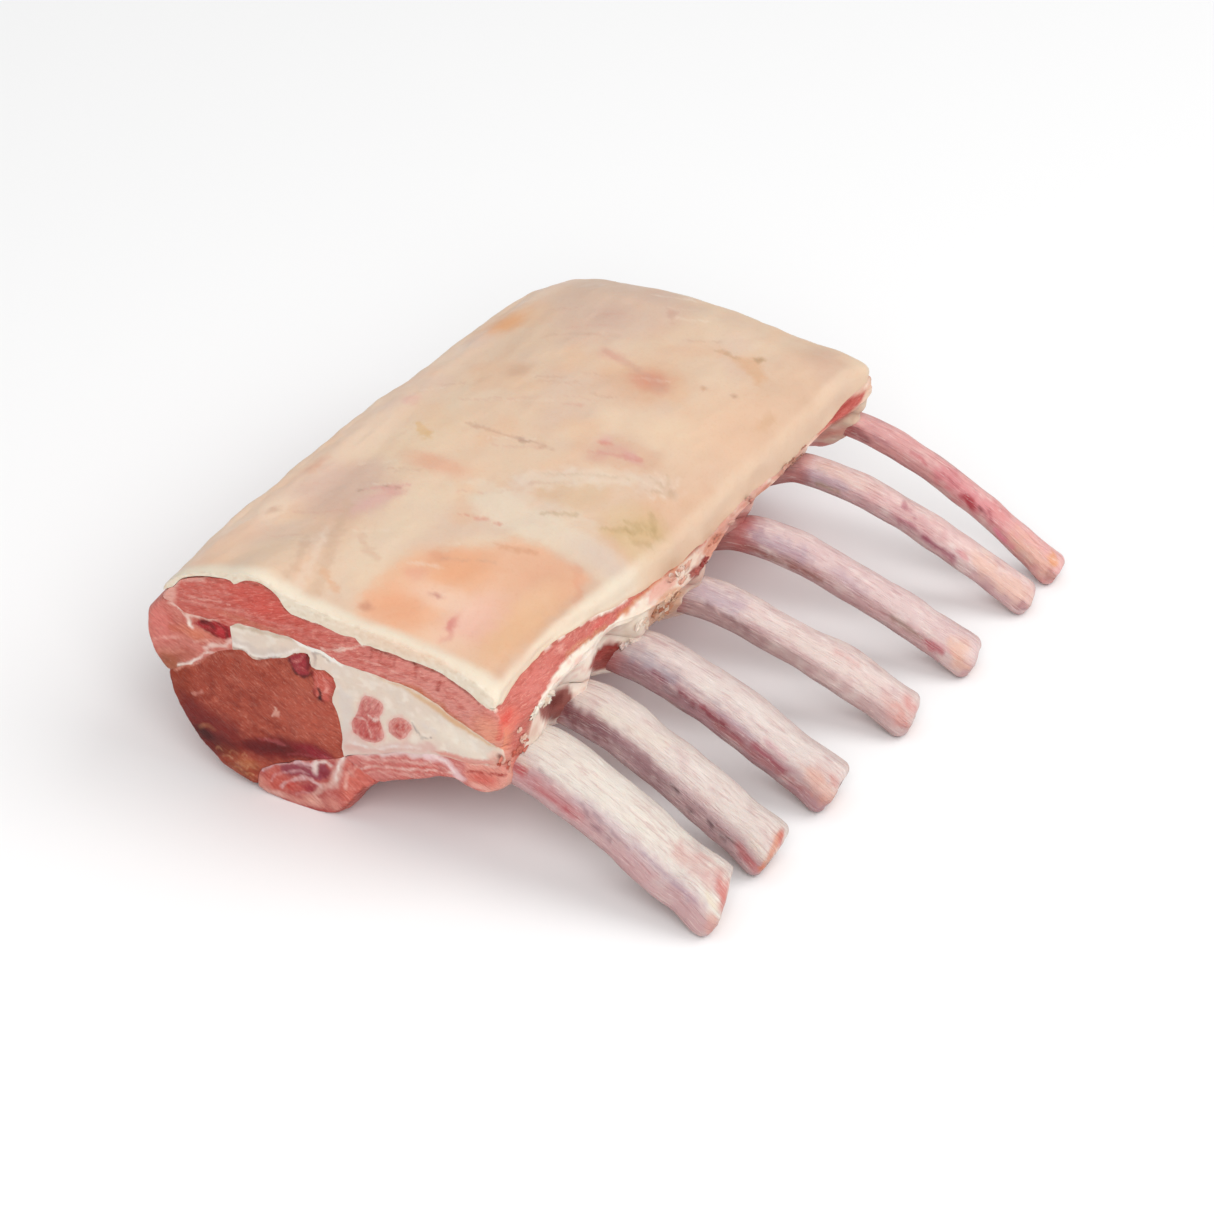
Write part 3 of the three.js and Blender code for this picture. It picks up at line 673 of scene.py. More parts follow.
STUDIO_LIGHT, GLOSS = 1.12, 0.012  # light that falls on the rack, and what its gloss adds
DARKEST = 0.004
EDGE_WAVE, EDGE_FRAY = 2.6, 1.0  # size of the noise that makes the edges of paint ragged


def pigment(code):
    """The base colour that shows as the given colour in the studio light."""
    return np.maximum(colour(code) - GLOSS, DARKEST) / STUDIO_LIGHT


class Paint:
    """Colours laid over one another on the points of a body.

    Strokes are placed on a canvas: two coordinates for every point, and the share of the point
    that lies on that canvas. Noise shifts the coordinates, so that edges come out ragged."""

    def __init__(self, body, base, lean=0.0):
        self.body = body
        self.spots = body.points.copy()
        self.colour = np.tile(pigment(base), (len(self.spots), 1))
        self.lean = np.full(len(self.spots), float(lean))
        self.patchy = noise(self.spots, 2.2, 48)
        self.canvas(self.spots[:, 0], self.spots[:, 1])

    def canvas(self, across, up, share=1.0, scale=(1.0, 1.0), ragged=0.35):
        self.scale = np.array(scale)
        at = np.stack([across, up], axis=1) * self.scale
        for k in range(2):
            at[:, k] += ragged * noise(self.spots, EDGE_WAVE, 31 + k)
            at[:, k] += 0.5 * ragged * noise(self.spots, EDGE_FRAY, 35 + k)
        self.at = at
        self.on = np.broadcast_to(share, len(at))

    def lay(self, code, share=1.0, lean=None):
        """Covers the canvas, or a share of it for each point; lean says how fibrous it turns."""
        share = np.clip(share * self.on, 0, 1)
        self.colour = lerp(self.colour, pigment(code), share[:, None])
        if lean is not None:
            self.lean = lerp(self.lean, lean, share)

    def spot(self, code, centre, radii, share=1.0, soft=0.75, tilt=0.0, lean=None):
        """An ellipse; tilt is in degrees, anticlockwise."""
        gap = self.at - np.array(centre) * self.scale
        turn = math.radians(tilt)
        along_it = gap[:, 0] * math.cos(turn) + gap[:, 1] * math.sin(turn)
        across_it = gap[:, 1] * math.cos(turn) - gap[:, 0] * math.sin(turn)
        reach = np.hypot(along_it / radii[0], across_it / radii[1])
        self.lay(code, share * (1 - smoothstep(reach, 1 - soft, 1 + soft)), lean)

    def stroke(self, code, points, width, share=1.0, soft=0.7, lean=None):
        """A line through the points, of the given half width."""
        points = np.asarray(points, float) * self.scale
        reach = width * (1 + soft)
        low, high = points.min(axis=0) - reach - 1, points.max(axis=0) + reach + 1
        close = np.all((self.at > low) & (self.at < high), axis=1) & (self.on > 0)
        if not close.any():
            return
        line = np.concatenate([curve_points(points, min(0.5, width)), points[-1:]])
        gap = np.full(len(self.at), np.inf)
        gap[close] = distance_to(self.at[close], line)
        gap[close] += 0.8 * width * noise(self.spots[close], 2.0, 47)
        patchiness = 0.7 if width < 0.6 else 0.2  # thin strokes break up more than broad ones
        share = share * np.clip(0.9 + patchiness * self.patchy, 0.2, 1.2)
        self.lay(code, share * (1 - smoothstep(gap, width * (1 - soft), reach)), lean)

    def area(self, code, corners, share=1.0, soft=0.6, lean=None):
        """A filled shape whose edge fades over twice the given softness."""
        corners = np.asarray(corners, float) * self.scale
        closed = np.concatenate([corners, corners[:1]])
        loop = np.concatenate([np.linspace(a, b, max(2, round(np.linalg.norm(b - a) / 0.4)), endpoint=False)
                               for a, b in zip(closed, closed[1:])])
        low, high = loop.min(axis=0) - soft - 1, loop.max(axis=0) + soft + 1
        close = np.all((self.at > low) & (self.at < high), axis=1) & (self.on > 0)
        if not close.any():
            return
        gap = np.full(len(self.at), -np.inf)
        away = distance_to(self.at[close], loop)
        gap[close] = np.where(inside_loops(self.at[close], [loop]), away, -away)
        self.lay(code, share * smoothstep(gap, -soft, soft), lean)

    def mottle(self, code, size, share, low=0.0, high=0.5, seed=0, lean=None):
        """Clouds of a colour."""
        self.lay(code, share * smoothstep(rough_noise(self.spots, size, 2, 50 + seed), low, high), lean)

    def keep(self, gain=1.0):
        self.body.values["paint"] = self.colour * gain
        self.body.values["lean"] = self.lean


def in_turn(*painters):
    """One painter that does the work of several, in their order."""
    def paint_all(paint):
        for painter in painters:
            painter(paint)
    return paint_all


CREASES, CREASE_COLOURS = 40, ("d9a794", "f2dfcc", "cda28a")
RIB_SLOPE_GAIN, SPINE_SLOPE_GAIN = np.array([0.89, 0.83, 0.81]), np.array([1.14, 1.14, 1.18])


def paint_fat_ground(paint):
    """Its canvas, which the painters up to the rims use, runs along the backbone and then across."""
    body = paint.body
    wall = (body.values["side"] == 0) & (body.values["home"][:, 2] > 45)
    paint.canvas(paint.spots[:, 1], paint.spots[:, 0], wall, ragged=0.9)
    paint.mottle("ead0b6", (18, 24, 18), 0.7, -0.1, 0.6, 1)
    paint.mottle("dcbeac", (16, 22, 16), 0.45, 0.0, 0.6, 2)
    paint.mottle("eabd9a", (12, 18, 12), 0.4, 0.0, 0.6, 3)
    paint.mottle("d9b096", (6, 9, 6), 0.14, 0.1, 0.6, 4)


def paint_orange_patch(paint):
    """The large warm patch at the shoulder end."""
    paint.area("eebf9f", [(-88, 8), (-86, 30), (-85, 41), (-70, 43), (-50, 43), (-40.5, 41), (-40, 30),
                          (-40.5, 21), (-48, 17), (-56, 9), (-66, 4), (-80, 3)], 0.9, 2.2)
    paint.spot("f0c79e", (-68, 39), (18, 4), 0.7)
    paint.spot("eec0ae", (-74, 29), (11, 5), 0.8)
    paint.spot("eda982", (-79, 13), (7, 8), 0.75)
    paint.spot("eaa67c", (-58, 17), (9, 7), 0.7, tilt=20)
    paint.spot("e8b292", (-49, 31), (8, 9), 0.6)
    paint.spot("f2ccb4", (-70, 20), (4, 7), 0.7)
    paint.spot("efb893", (-66, 6), (10, 3), 0.5)
    paint.spot("f0cdb0", (-84, 31), (4, 8), 0.6)
    paint.spot("f0c9a6", (-56, 37), (7, 3), 0.5)
    paint.spot("d4827a", (-77, 26.4), (3, 1.2), 0.75, tilt=-15)
    paint.spot("dc9288", (-82, 27.5), (2.4, 1), 0.4)
    paint.spot("c4857a", (-70.3, 18), (0.9, 1.8), 0.7)
    paint.spot("cf9277", (-82.3, 6.3), (1.6, 1.5), 0.7)
    paint.spot("dd9c7c", (-57, 10), (3, 2.4), 0.5)
    paint.spot("e19a86", (-66, 10), (2.6, 2.4), 0.4)
    paint.stroke("d39672", [(-44.8, 20), (-44, 24), (-42.8, 28)], 0.9, 0.5)
    paint.stroke("e6a283", [(-52, 45), (-45, 41), (-40, 38)], 1.0, 0.4)


def paint_pale_band(paint):
    """Pale and olive fat between the patch and the middle."""
    paint.area("ead9c3", [(-39, 46), (-38.5, 20), (-36, 8), (-30, 2), (-24, 8), (-26, 20), (-27, 32),
                          (-28, 46)], 0.75, 2.5)
    paint.spot("ecd5ba", (-56, -4), (26, 7), 0.6)
    paint.spot("eccfae", (-12, -20), (14, 8), 0.4)
    paint.spot("ead0b6", (-14, -32), (18, 6), 0.5)
    paint.spot("dfcfc4", (-32, 40), (4, 8), 0.5)
    paint.stroke("eadcc8", [(-24, 0), (-24, 10), (-23, 22), (-24, 32)], 2.2, 0.4)
    paint.area("dfc496", [(-25, 47), (-25, 36), (-18, 32), (-9, 35), (-6, 40), (-10, 47)], 0.45, 3.5)
    paint.spot("d0bb84", (-13.6, 41), (6, 3), 0.4, tilt=20)
    paint.spot("d8ba86", (-21, 38.6), (4, 2), 0.4, tilt=40)
    for ends in ([(-23, 35), (-18, 39)], [(-18, 39), (-12, 42)], [(-16, 37), (-13, 40)],
                 [(-12, 42), (-8, 40)], [(-15, 42), (-11, 44.4)], [(-20, 41), (-17, 44)]):
        paint.stroke("b29a66", ends, 0.7, 0.32)
    paint.spot("e8cfa8", (-22, 42), (2, 3), 0.5)
    paint.area("debd9b", [(-22, 28), (-22, 16), (-16, 12), (-9, 18), (-8, 28), (-14, 30)], 0.6, 2.5)
    paint.stroke("bda27c", [(-27.4, 20.5), (-25.6, 23.5), (-23.2, 27.6)], 0.6, 0.5)
    paint.stroke("ead7c4", [(-16, 11), (-9, 20), (-3, 27), (3, 37)], 3.4, 0.6)
    paint.stroke("c9ad90", [(-13, 12), (-6, 22), (-1, 30)], 0.5, 0.35)


def paint_middle_marks(paint):
    """Red marks, and a star of fine creases, in the middle of the rack."""
    paint.area("deb69c", [(-2, 18), (0, 26), (6, 33), (13, 30), (13, 20), (10, 15), (3, 15)], 0.7, 2.5)
    paint.spot("dba19a", (6.6, 25.6), (1.5, 3), 0.7, tilt=25)
    paint.spot("da8c7e", (7.8, 17.4), (1.3, 1.7), 0.75)
    paint.stroke("d8988a", [(2, 16.2), (4.6, 21.5), (6.9, 27.8)], 0.6, 0.6)
    paint.spot("dca79a", (5, 20.4), (5, 2), 0.5, tilt=20)
    paint.spot("e2b3aa", (9.6, 17), (1.5, 1.5), 0.5)
    paint.spot("c3a88a", (2.4, 39), (1.6, 1.2), 0.5)
    for k in range(7):
        slope = math.radians(200 + 26 * k)
        start, end = ((2 + r * math.cos(slope), 38.5 + r * math.sin(slope)) for r in (2, 6))
        paint.stroke("cdb192" if k % 2 else "f0dcc6", [start, end], 0.35, 0.45)


def paint_loin_half(paint):
    """Spots and veins of the half towards the loin."""
    paint.spot("eecbad", (33, 36), (16, 10), 0.7)
    paint.spot("f0d3b4", (22, 22), (6, 12), 0.5)
    paint.area("deae86", [(54, 34), (58, 34.5), (61, 31), (64, 29.6), (63.4, 28), (61, 26), (60, 21),
                          (58, 26), (56, 30)], 0.6, 1.4)
    paint.spot("ae8f6c", (63.2, 29.2), (1.3, 0.7), 0.6)
    paint.stroke("c49b78", [(60.2, 25), (60.8, 19)], 0.5, 0.5)
    paint.spot("dfb190", (37, 11), (10, 9), 0.7)
    paint.spot("da9078", (38.6, 12.6), (4.2, 4.4), 0.7)
    paint.spot("d09c88", (36.6, 17), (2.4, 2.4), 0.5)
    paint.stroke("d1a28e", [(39, 14), (41, 8), (42.4, 2), (44.4, -3)], 1.1, 0.5)
    paint.spot("dca392", (43.4, -1), (2.4, 3.2), 0.45)
    paint.spot("c29a7f", (45, 32), (0.9, 0.8), 0.7)
    paint.spot("caa182", (43, 25), (0.9, 0.8), 0.6)
    paint.spot("d8b18c", (45, 41.4), (4, 1), 0.5)
    paint.spot("c8937f", (69, 1.4), (1.6, 1.2), 0.7)
    paint.stroke("d5a791", [(65, 3.4), (69, 1.4), (71, -1)], 0.8, 0.4)
    paint.area("d5b7a7", [(48, -4), (60, 4), (76, 6), (84, -4), (84, -26), (66, -31), (50, -22),
                          (42, -12)], 0.55, 5)
    paint.spot("cfae9f", (60, -11), (6, 5), 0.5)


def paint_spine_side(paint):
    """Bruised fat, veins and marks on the side of the spine."""
    paint.area("d2b0a3", [(-56, -18), (-48, -12), (-36, -16), (-28, -24), (-32, -35), (-46, -37),
                          (-55, -28)], 0.55, 5)
    paint.spot("e3b1aa", (-44, -14.6), (8, 2.6), 0.6, tilt=14)
    paint.spot("d89f96", (-38.4, -13), (2, 2.4), 0.5)
    paint.stroke("d3b196", [(-89, -5), (-78, -8), (-68, -12), (-58, -16), (-47, -20)], 1.3, 0.5)
    paint.stroke("d0ad93", [(-88, -13), (-76, -15.6), (-66, -20)], 0.9, 0.5)
    paint.stroke("ecd4bf", [(-86, -9.6), (-72, -13.6), (-60, -18.6)], 1.0, 0.5)
    paint.stroke("e3ab84", [(-81, -2), (-78.4, -6), (-76, -9)], 0.9, 0.5)
    paint.stroke("d6ab90", [(-66, -1), (-63, -6), (-60, -9)], 0.9, 0.4)
    paint.spot("e3a68a", (-22.6, -11), (3.4, 7.5), 0.6)
    paint.stroke("dd9c88", [(-38, 5.6), (-37.2, 9), (-36.7, 15)], 0.5, 0.6)
    paint.spot("d98d7c", (-37.4, 9.4), (0.8, 1.6), 0.5)
    paint.stroke("dc9f98", [(-41, -19.7), (-38, -15.6), (-35.2, -11.6)], 0.6, 0.5)
    for mark in ((-41.3, -20.7), (-37.5, -15.7), (-36.7, -12.9)):
        paint.spot("a98878", mark, (0.5, 0.9), 0.5)


def paint_creases(paint):
    """Fine creases that run slantwise over the half near the spine."""
    scatter = np.random.default_rng(17)
    for k in range(CREASES):
        start = scatter.uniform((-70, -36), (80, 12))
        end = start + scatter.uniform(5, 13) * np.array([0.48 + scatter.normal(0, 0.08), 0.88])
        code = CREASE_COLOURS[k % len(CREASE_COLOURS)]
        paint.stroke(code, [start, end], scatter.uniform(0.3, 0.6), scatter.uniform(0.2, 0.42))


def paint_spine_marks(paint):
    paint.stroke("deb070", [(-13.6, -19), (-11.4, -21.4), (-8.2, -24.8)], 1.0, 0.55)
    paint.stroke("c89f88", [(-2, 9), (-2.3, 0), (-2.6, -8), (-3.2, -14)], 0.6, 0.6)
    paint.spot("ba9580", (-2.4, 1), (0.8, 1.6), 0.6)
    paint.spot("e89f69", (49.6, -34.6), (4.2, 3.6), 0.8)
    paint.spot("e3ae80", (51, -36), (8, 6), 0.6)
    paint.spot("d99f82", (-34, -38), (4.5, 1.8), 0.5)
    paint.spot("c69b82", (26, -17), (3.4, 3), 0.4)
    paint.spot("c39a80", (-57, -34.6), (1.8, 1.4), 0.5)
    paint.spot("e2aaa0", (2.6, -33.6), (2.4, 2), 0.4)


def paint_fat_rims(paint):
    """Evens out the light on both slopes, and pales the fat along its trimmed edges; on the side by the
    ribs the paler rim is partly painted light.
    """
    x, y, _ = paint.spots.T
    # More light falls on the slope to the ribs than on the slope to the spine.
    rib_slope = smoothstep(x, 24, 42) * (1 - 0.7 * smoothstep(x, 43.5, 46))
    spine_slope = 1 - smoothstep(x, -40, -24)
    paint.colour *= lerp(1, RIB_SLOPE_GAIN, rib_slope[:, None])
    paint.colour *= lerp(1, SPINE_SLOPE_GAIN, spine_slope[:, None])
    near_rim = 1 - smoothstep(y + 0.7 * noise(paint.spots, 5, 71), -88.6, -84.6)
    paint.lay("eee1cc", 0.85 * near_rim)
    # The paler rim on the side by the ribs is partly painted light, where the rounded edge takes the light
    # from above.
    side_rim = smoothstep(x + 0.6 * noise(paint.spots, 6, 72), 43.2, 46)
    paint.lay("ecdec8", 0.8 * side_rim * (1 - smoothstep(y, -34, -12)))
    paint.lay("e0c2a8", 0.6 * side_rim * smoothstep(y, -34, -12))
    paint.lay("e6cfb4", 0.6 * smoothstep(y, 80, 86))
    paint.lay("e3cbb4", 0.5 * (1 - smoothstep(x, -45, -41)))


# The rib side between fat edge and ribs is painted by place alone, whatever layer lies there. Its
# canvas is skewed, so that strokes run on over the steps between the layers.
SIDE_X = 46.5
SKEW_ALONG, SKEW_UP = 1.73, -1.26  # how far a millimetre past SIDE_X shifts a point of the canvas
RED_BAND = [
    (-91.5, 47), (-88, 47.6), (-84, 48.8), (-78, 49.3), (-70, 49.4), (-60, 48.5), (-50, 46.4),
    (-40, 43.4), (-30, 42.1), (-20, 40.8), (-10, 39.9), (0, 39.1), (6, 38.9), (6, 38.3), (0, 38.2),
    (-10, 38.7), (-20, 39.7), (-30, 39.7), (-40, 39.6), (-50, 41), (-60, 41.8), (-66, 40.2),
    (-70, 37.8), (-74, 35.6), (-77, 31), (-80, 27), (-91.5, 27)]


def side_canvas(points):
    """Where points lie on the canvas of the rib side: along the backbone, and up."""
    x, y, z = points.T
    return y + SKEW_ALONG * (x - SIDE_X), z + SKEW_UP * (x - SIDE_X)


def paint_side_ground(paint):
    """Its canvas, which the other painters of the side use, takes in the side's slanted edges."""
    body = paint.body
    y = paint.spots[:, 1]
    wall = smoothstep(body.values["home"][:, 0], 41, 44) * (body.values["side"] == 0)
    paint.canvas(*side_canvas(paint.spots), wall, ragged=0.4)
    paint.lay("efe3d4", 1, lean=0)
    paint.lay("dcb8a8", smoothstep(y, -34, -16), lean=0.3)
    paint.lay("d3a698", smoothstep(y, 0, 14) * 0.8, lean=0.4)
    paint.lay("d9b7a2", smoothstep(y, 40, 64) * 0.8, lean=0.2)
    paint.mottle("efe4d4", (3, 5, 2), 0.5, 0.05, 0.5, 11)
    paint.mottle("cb9385", (2, 5, 1.5), 0.35, 0.2, 0.6, 12)
    paint.area("e9dccb", [(-74, 35), (-66, 42), (-50, 41.4), (-36, 38), (-34, 30), (-50, 31), (-60, 33),
                          (-68, 33)], 0.7, 1, lean=0)
    # Under the crease the wall is painted brighter: painted light that makes up for the shade there.
    paint.area("faeadc", [(-76, 37), (-66, 38), (-50, 38.6), (-40, 38), (-24, 34), (-24, 25), (-80, 25)],
               0.95, 1.2, lean=0)


def paint_red_band(paint):
    """The cap muscle, which shows along the first three ribs."""
    paint.area("cb7166", RED_BAND, 1, 0.3, lean=1)
    paint.mottle("dd9186", (3, 4, 1.4), 0.35, 0.1, 0.5, 13)
    paint.area("dc7868", [(-91, 44), (-84, 43), (-80, 38), (-84, 35), (-91, 36)], 0.7, 1.6, lean=0.7)
    paint.spot("ec9c7c", (-89, 34), (3.4, 4), 0.8, lean=0.4)
    paint.spot("de5248", (-86.6, 40.4), (2.2, 2), 0.7)
    paint.spot("dd6a5c", (-89.4, 37), (1.6, 1.2), 0.6)
    paint.spot("d98076", (-75, 44), (6, 3), 0.5)
    paint.spot("e3a598", (-62.2, 46), (1.4, 0.9), 0.7)
    paint.spot("d95f58", (-45, 43), (4, 1), 0.6)
    # A thin reddish-brown line just under the edge of the fat: the band's own colour, darkened by painted
    # shadow of the fat's overhang.
    paint.stroke("b9695a", [(-86, 48.4), (-78, 48.9), (-68, 49), (-58, 47.8), (-48, 45.6), (-38, 42.9)],
                 0.3, 0.6)
    paint.stroke("cc9468", [(-60, 42.8), (-50, 41.6), (-42, 40.6)], 0.6, 0.6)
    paint.stroke("cf8458", [(-36, 40), (-30, 39.8), (-24, 39.9), (-14, 38.8), (-4, 38.3)], 0.7, 0.7,
                 lean=0.4)
    paint.spot("d07a4e", (-32, 39), (1.6, 1), 0.7)
    # A thin dark line just under the edge of the fat: painted shadow of its overhang.
    paint.stroke("8e6450", [(-24, 40.6), (-14, 39.9), (-4, 39.1), (4, 38.9)], 0.25, 0.8)


def paint_middle_side(paint):
    """Fat and torn meat from the fourth rib to the fifth."""
    paint.area("e4ab9c", [(-20, 39), (-8, 38), (-6, 36), (-10, 34), (-18, 34.6), (-22, 36.4)], 0.8, 0.7,
               lean=0.4)
    paint.area("ead9c6", [(-34, 38), (-24, 37.6), (-20, 34), (-22, 30), (-34, 29)], 0.8, 0.8, lean=0)
    paint.area("dcaa8c", [(-22, 33.6), (-14, 34.4), (-8, 33), (-4, 29.6), (-8, 27), (-22, 28)], 0.8, 0.6,
               lean=0.6)
    paint.stroke("b0694f", [(-21, 31.4), (-15, 30.4), (-9, 29.8)], 0.4, 0.6)
    paint.stroke("e5c5b2", [(-19, 32.8), (-13, 32), (-10, 31.4)], 0.5, 0.7)
    paint.area("ead8c8", [(-8, 38), (0, 37.8), (3, 36.4), (0, 34.4), (-6, 32), (-9, 34)], 0.85, 0.5, lean=0)
    paint.area("96433e", [(-3.4, 33.6), (-1, 34.4), (2, 33.4), (5, 34.4), (6, 32), (2, 30.6), (-1, 31.6)],
               0.9, 0.4, lean=0.6)
    paint.area("cf8e78", [(4, 36), (8, 38), (13, 37.6), (16, 35), (14, 31), (8, 32), (6, 33)], 0.8, 0.6,
               lean=0.7)
    paint.spot("dc9a85", (10, 36), (2, 1), 0.6)
    paint.area("c08884", [(14, 36), (18, 37.4), (26, 37), (31, 34), (28, 29), (18, 30)], 0.6, 1.2, lean=0.6)
    paint.spot("bd6260", (24, 34.6), (3, 2), 0.6, tilt=-20, lean=0.8)
    paint.stroke("c48a7c", [(18, 38.4), (24, 38.2), (30, 37.6)], 0.5, 0.5)


def paint_loin_side(paint):
    """From the fifth rib on, with the red hollow before the last rib."""
    paint.stroke("b27763", [(31, 37.8), (35, 37.4), (38, 37.8)], 0.6, 0.7, lean=0.5)
    paint.stroke("ae7866", [(42, 38), (48, 37.6), (55, 38)], 0.8, 0.7, lean=0.5)
    paint.stroke("b98a7c", [(41, 36.6), (46, 34.6), (50, 32)], 0.8, 0.5, lean=0.4)
    paint.spot("e6c9bc", (55, 36), (4, 2), 0.6)
    paint.area("b9564f", [(62, 39.6), (66, 41.2), (72, 41.8), (79, 41), (86.4, 38.8), (83, 36.4),
                          (78, 36.2), (70, 37.6)], 0.95, 0.9, lean=0.8)
    paint.spot("9f3a36", (74, 40), (5, 1), 0.6)
    paint.stroke("c8746c", [(63, 38.4), (70, 35.6), (78, 31.4), (86, 26)], 1.2, 0.65, lean=0.6)
    paint.area("dcc3ac", [(76, 35.8), (84, 36.4), (92, 39), (92, 26), (84, 28), (78, 33)], 0.85, 1.2,
               lean=0)
    paint.stroke("c9a68e", [(79, 35.4), (81, 31), (84, 27)], 0.5, 0.5)


def paint_side_foot(paint):
    """The foot of the side by the first rib, and the hollows over the second and third, darkest inside with
    painted shade.
    """
    paint.stroke("b4564e", [(-76, 35), (-79, 31), (-81, 27)], 0.5, 0.4)
    paint.area("e09c8c", [(-99, 33), (-90, 32), (-85, 31), (-82, 27), (-84, 16), (-99, 14)], 0.95, 0.8,
               lean=0.8)
    paint.spot("c9483e", (-88, 27), (3, 1), 0.7)
    paint.spot("c04a42", (-83, 25.6), (1.6, 2), 0.7)
    paint.spot("edbcaa", (-90, 31), (2.4, 0.9), 0.7)
    paint.area("ac4f48", [(-50, 33.6), (-45, 35.8), (-41, 35), (-37, 33), (-33, 30.4), (-31, 27),
                          (-34, 25), (-40, 28), (-47, 30.6)], 0.98, 0.5, lean=0.6)
    # The dark line and the darkest patch in this hollow are painted shade.
    paint.stroke("8e2c2a", [(-44, 34.8), (-40, 34.2), (-36, 31.8)], 0.7, 0.6)
    paint.area("74302c", [(-44, 32.6), (-40, 32.6), (-36, 30.6), (-33, 28), (-35, 26.4), (-41, 29.4)],
               0.6, 0.7)
    paint.spot("cfae9c", (-75, 30.5), (3, 3), 0.7)
    paint.area("94504a", [(-73, 35.4), (-66, 35.8), (-59.4, 33.8), (-56.6, 29), (-59, 26), (-66, 28),
                          (-70.6, 31)], 0.95, 0.6, lean=0.5)
    # The darkest patch in this hollow is painted shade.
    paint.area("6e302c", [(-70, 34.4), (-65, 34.6), (-60.6, 32.8), (-61.4, 31), (-67, 31.8)], 0.7, 0.7)


paint_rib_side = in_turn(
    paint_side_ground, paint_red_band, paint_middle_side, paint_loin_side, paint_side_foot)


def paint_cut_face(paint):
    """The canvas of both cut faces, in section millimetres, with the walls' first rings."""
    home = paint.body.values["home"]
    at_end = np.maximum(1 - smoothstep(home[:, 1], 0, 0.006), smoothstep(home[:, 1], 0.994, 1))
    paint.canvas(home[:, 0], home[:, 2], at_end, ragged=0.3)


def paint_fat_face(paint):
    paint_cut_face(paint)
    paint.lay("e9dcc8", 0.9)
    paint.mottle("f3eadb", (2, 2, 1), 0.5, 0.0, 0.5, 21)
    paint.mottle("d6bfa6", (1.6, 2, 1), 0.4, 0.15, 0.5, 22)
    paint.spot("e9bda0", (22, 53), (16, 2), 0.4)


paint_fat_cap = in_turn(
    paint_fat_ground, paint_orange_patch, paint_pale_band, paint_middle_marks, paint_loin_half,
    paint_spine_side, paint_creases, paint_spine_marks, paint_fat_rims, paint_fat_face)


def paint_cap_muscle(paint):
    x = paint.spots[:, 0]
    paint_cut_face(paint)
    paint.lay("d57d73", smoothstep(x, -8, 12))
    paint.lay("dc8f84", smoothstep(x, 14, 30))
    paint.mottle("b94f44", (4, 3, 1.6), 0.5, 0.0, 0.5, 31)
    paint.mottle("e09a8e", (3, 2.4, 0.8), 0.45, 0.1, 0.5, 32)
    paint.spot("d2584e", (-17, 53), (9, 3.4), 0.7)
    paint.spot("c9685e", (-37, 48), (4, 4), 0.4)
    paint.spot("c97a62", (-20, 46.8), (9, 0.8), 0.6)
    paint.stroke("dd988c", [(-39, 46.8), (-34, 47.8), (-28, 48), (-22, 49.4)], 0.5, 0.6)
    paint.stroke("e2a89c", [(-38, 48.6), (-32, 49.4), (-26, 49.8)], 0.25, 0.6)
    paint.stroke("d98f84", [(-34, 51.4), (-27, 52.6), (-21, 52.6)], 0.3, 0.4)
    paint.stroke("dc9a90", [(-18, 49.4), (-12, 49), (-6, 48.8)], 0.3, 0.4)
    paint.stroke("ecc3b4", [(-1, 45.6), (3, 47), (6, 48.4), (10.4, 50.2)], 0.35, 0.9)
    paint.stroke("dfa294", [(2, 47.8), (6, 49.6), (9, 50.4)], 0.25, 0.5)
    paint.stroke("e8b4a8", [(9, 46.4), (15, 46.6), (22, 46)], 0.3, 0.5)
    paint.stroke("e2a79a", [(12, 44.4), (20, 44.4), (27, 43.6), (33, 41.2)], 0.3, 0.5)
    # The two thin dark lines just under the edge of the fat are painted shadow of the fat's overhang.
    paint.stroke("7e4438", [(12.6, 50.3), (20, 50.1), (30, 49.5), (36, 48.1), (42, 45.6)], 0.3, 0.8)
    paint.stroke("8e4c40", [(-34, 54.4), (-26, 56), (-20, 57.6), (-15, 57.2), (-10, 53.4), (0, 51.8)],
                 0.22, 0.6)
    paint.stroke("bf6c48", [(18, 43.2), (26, 42), (31, 40.4), (36, 38.2), (42, 36.4)], 0.8, 0.7)
    for ends in ([(12.2, 47.6), (13, 49.8)], [(14.6, 47.8), (15.4, 49.8)], [(18.6, 47.6), (19.2, 49.8)],
                 [(24, 46.6), (24.6, 49)], [(30.4, 44.8), (31.2, 47.4)], [(5.4, 50), (6.4, 50.8)]):
        paint.stroke("a8443c", ends, 0.35, 0.6)
    paint.area("e3ac9e", [(-46.4, 45.4), (-45, 49), (-42, 51.6), (-40.4, 51.2), (-40.6, 46), (-41.6, 44)],
               0.8, 1.0, lean=0.3)
    paint.stroke("e6b3a6", [(-42, 50.6), (-38, 53), (-33, 54.6)], 0.7, 0.6, lean=0.3)
    paint.spot("ea9c80", (44.4, 38.4), (4, 4), 0.8)
    paint.stroke("dc5347", [(46.6, 37.4), (47.4, 39.6), (47.6, 42)], 0.7, 0.6)
    paint_rib_side(paint)


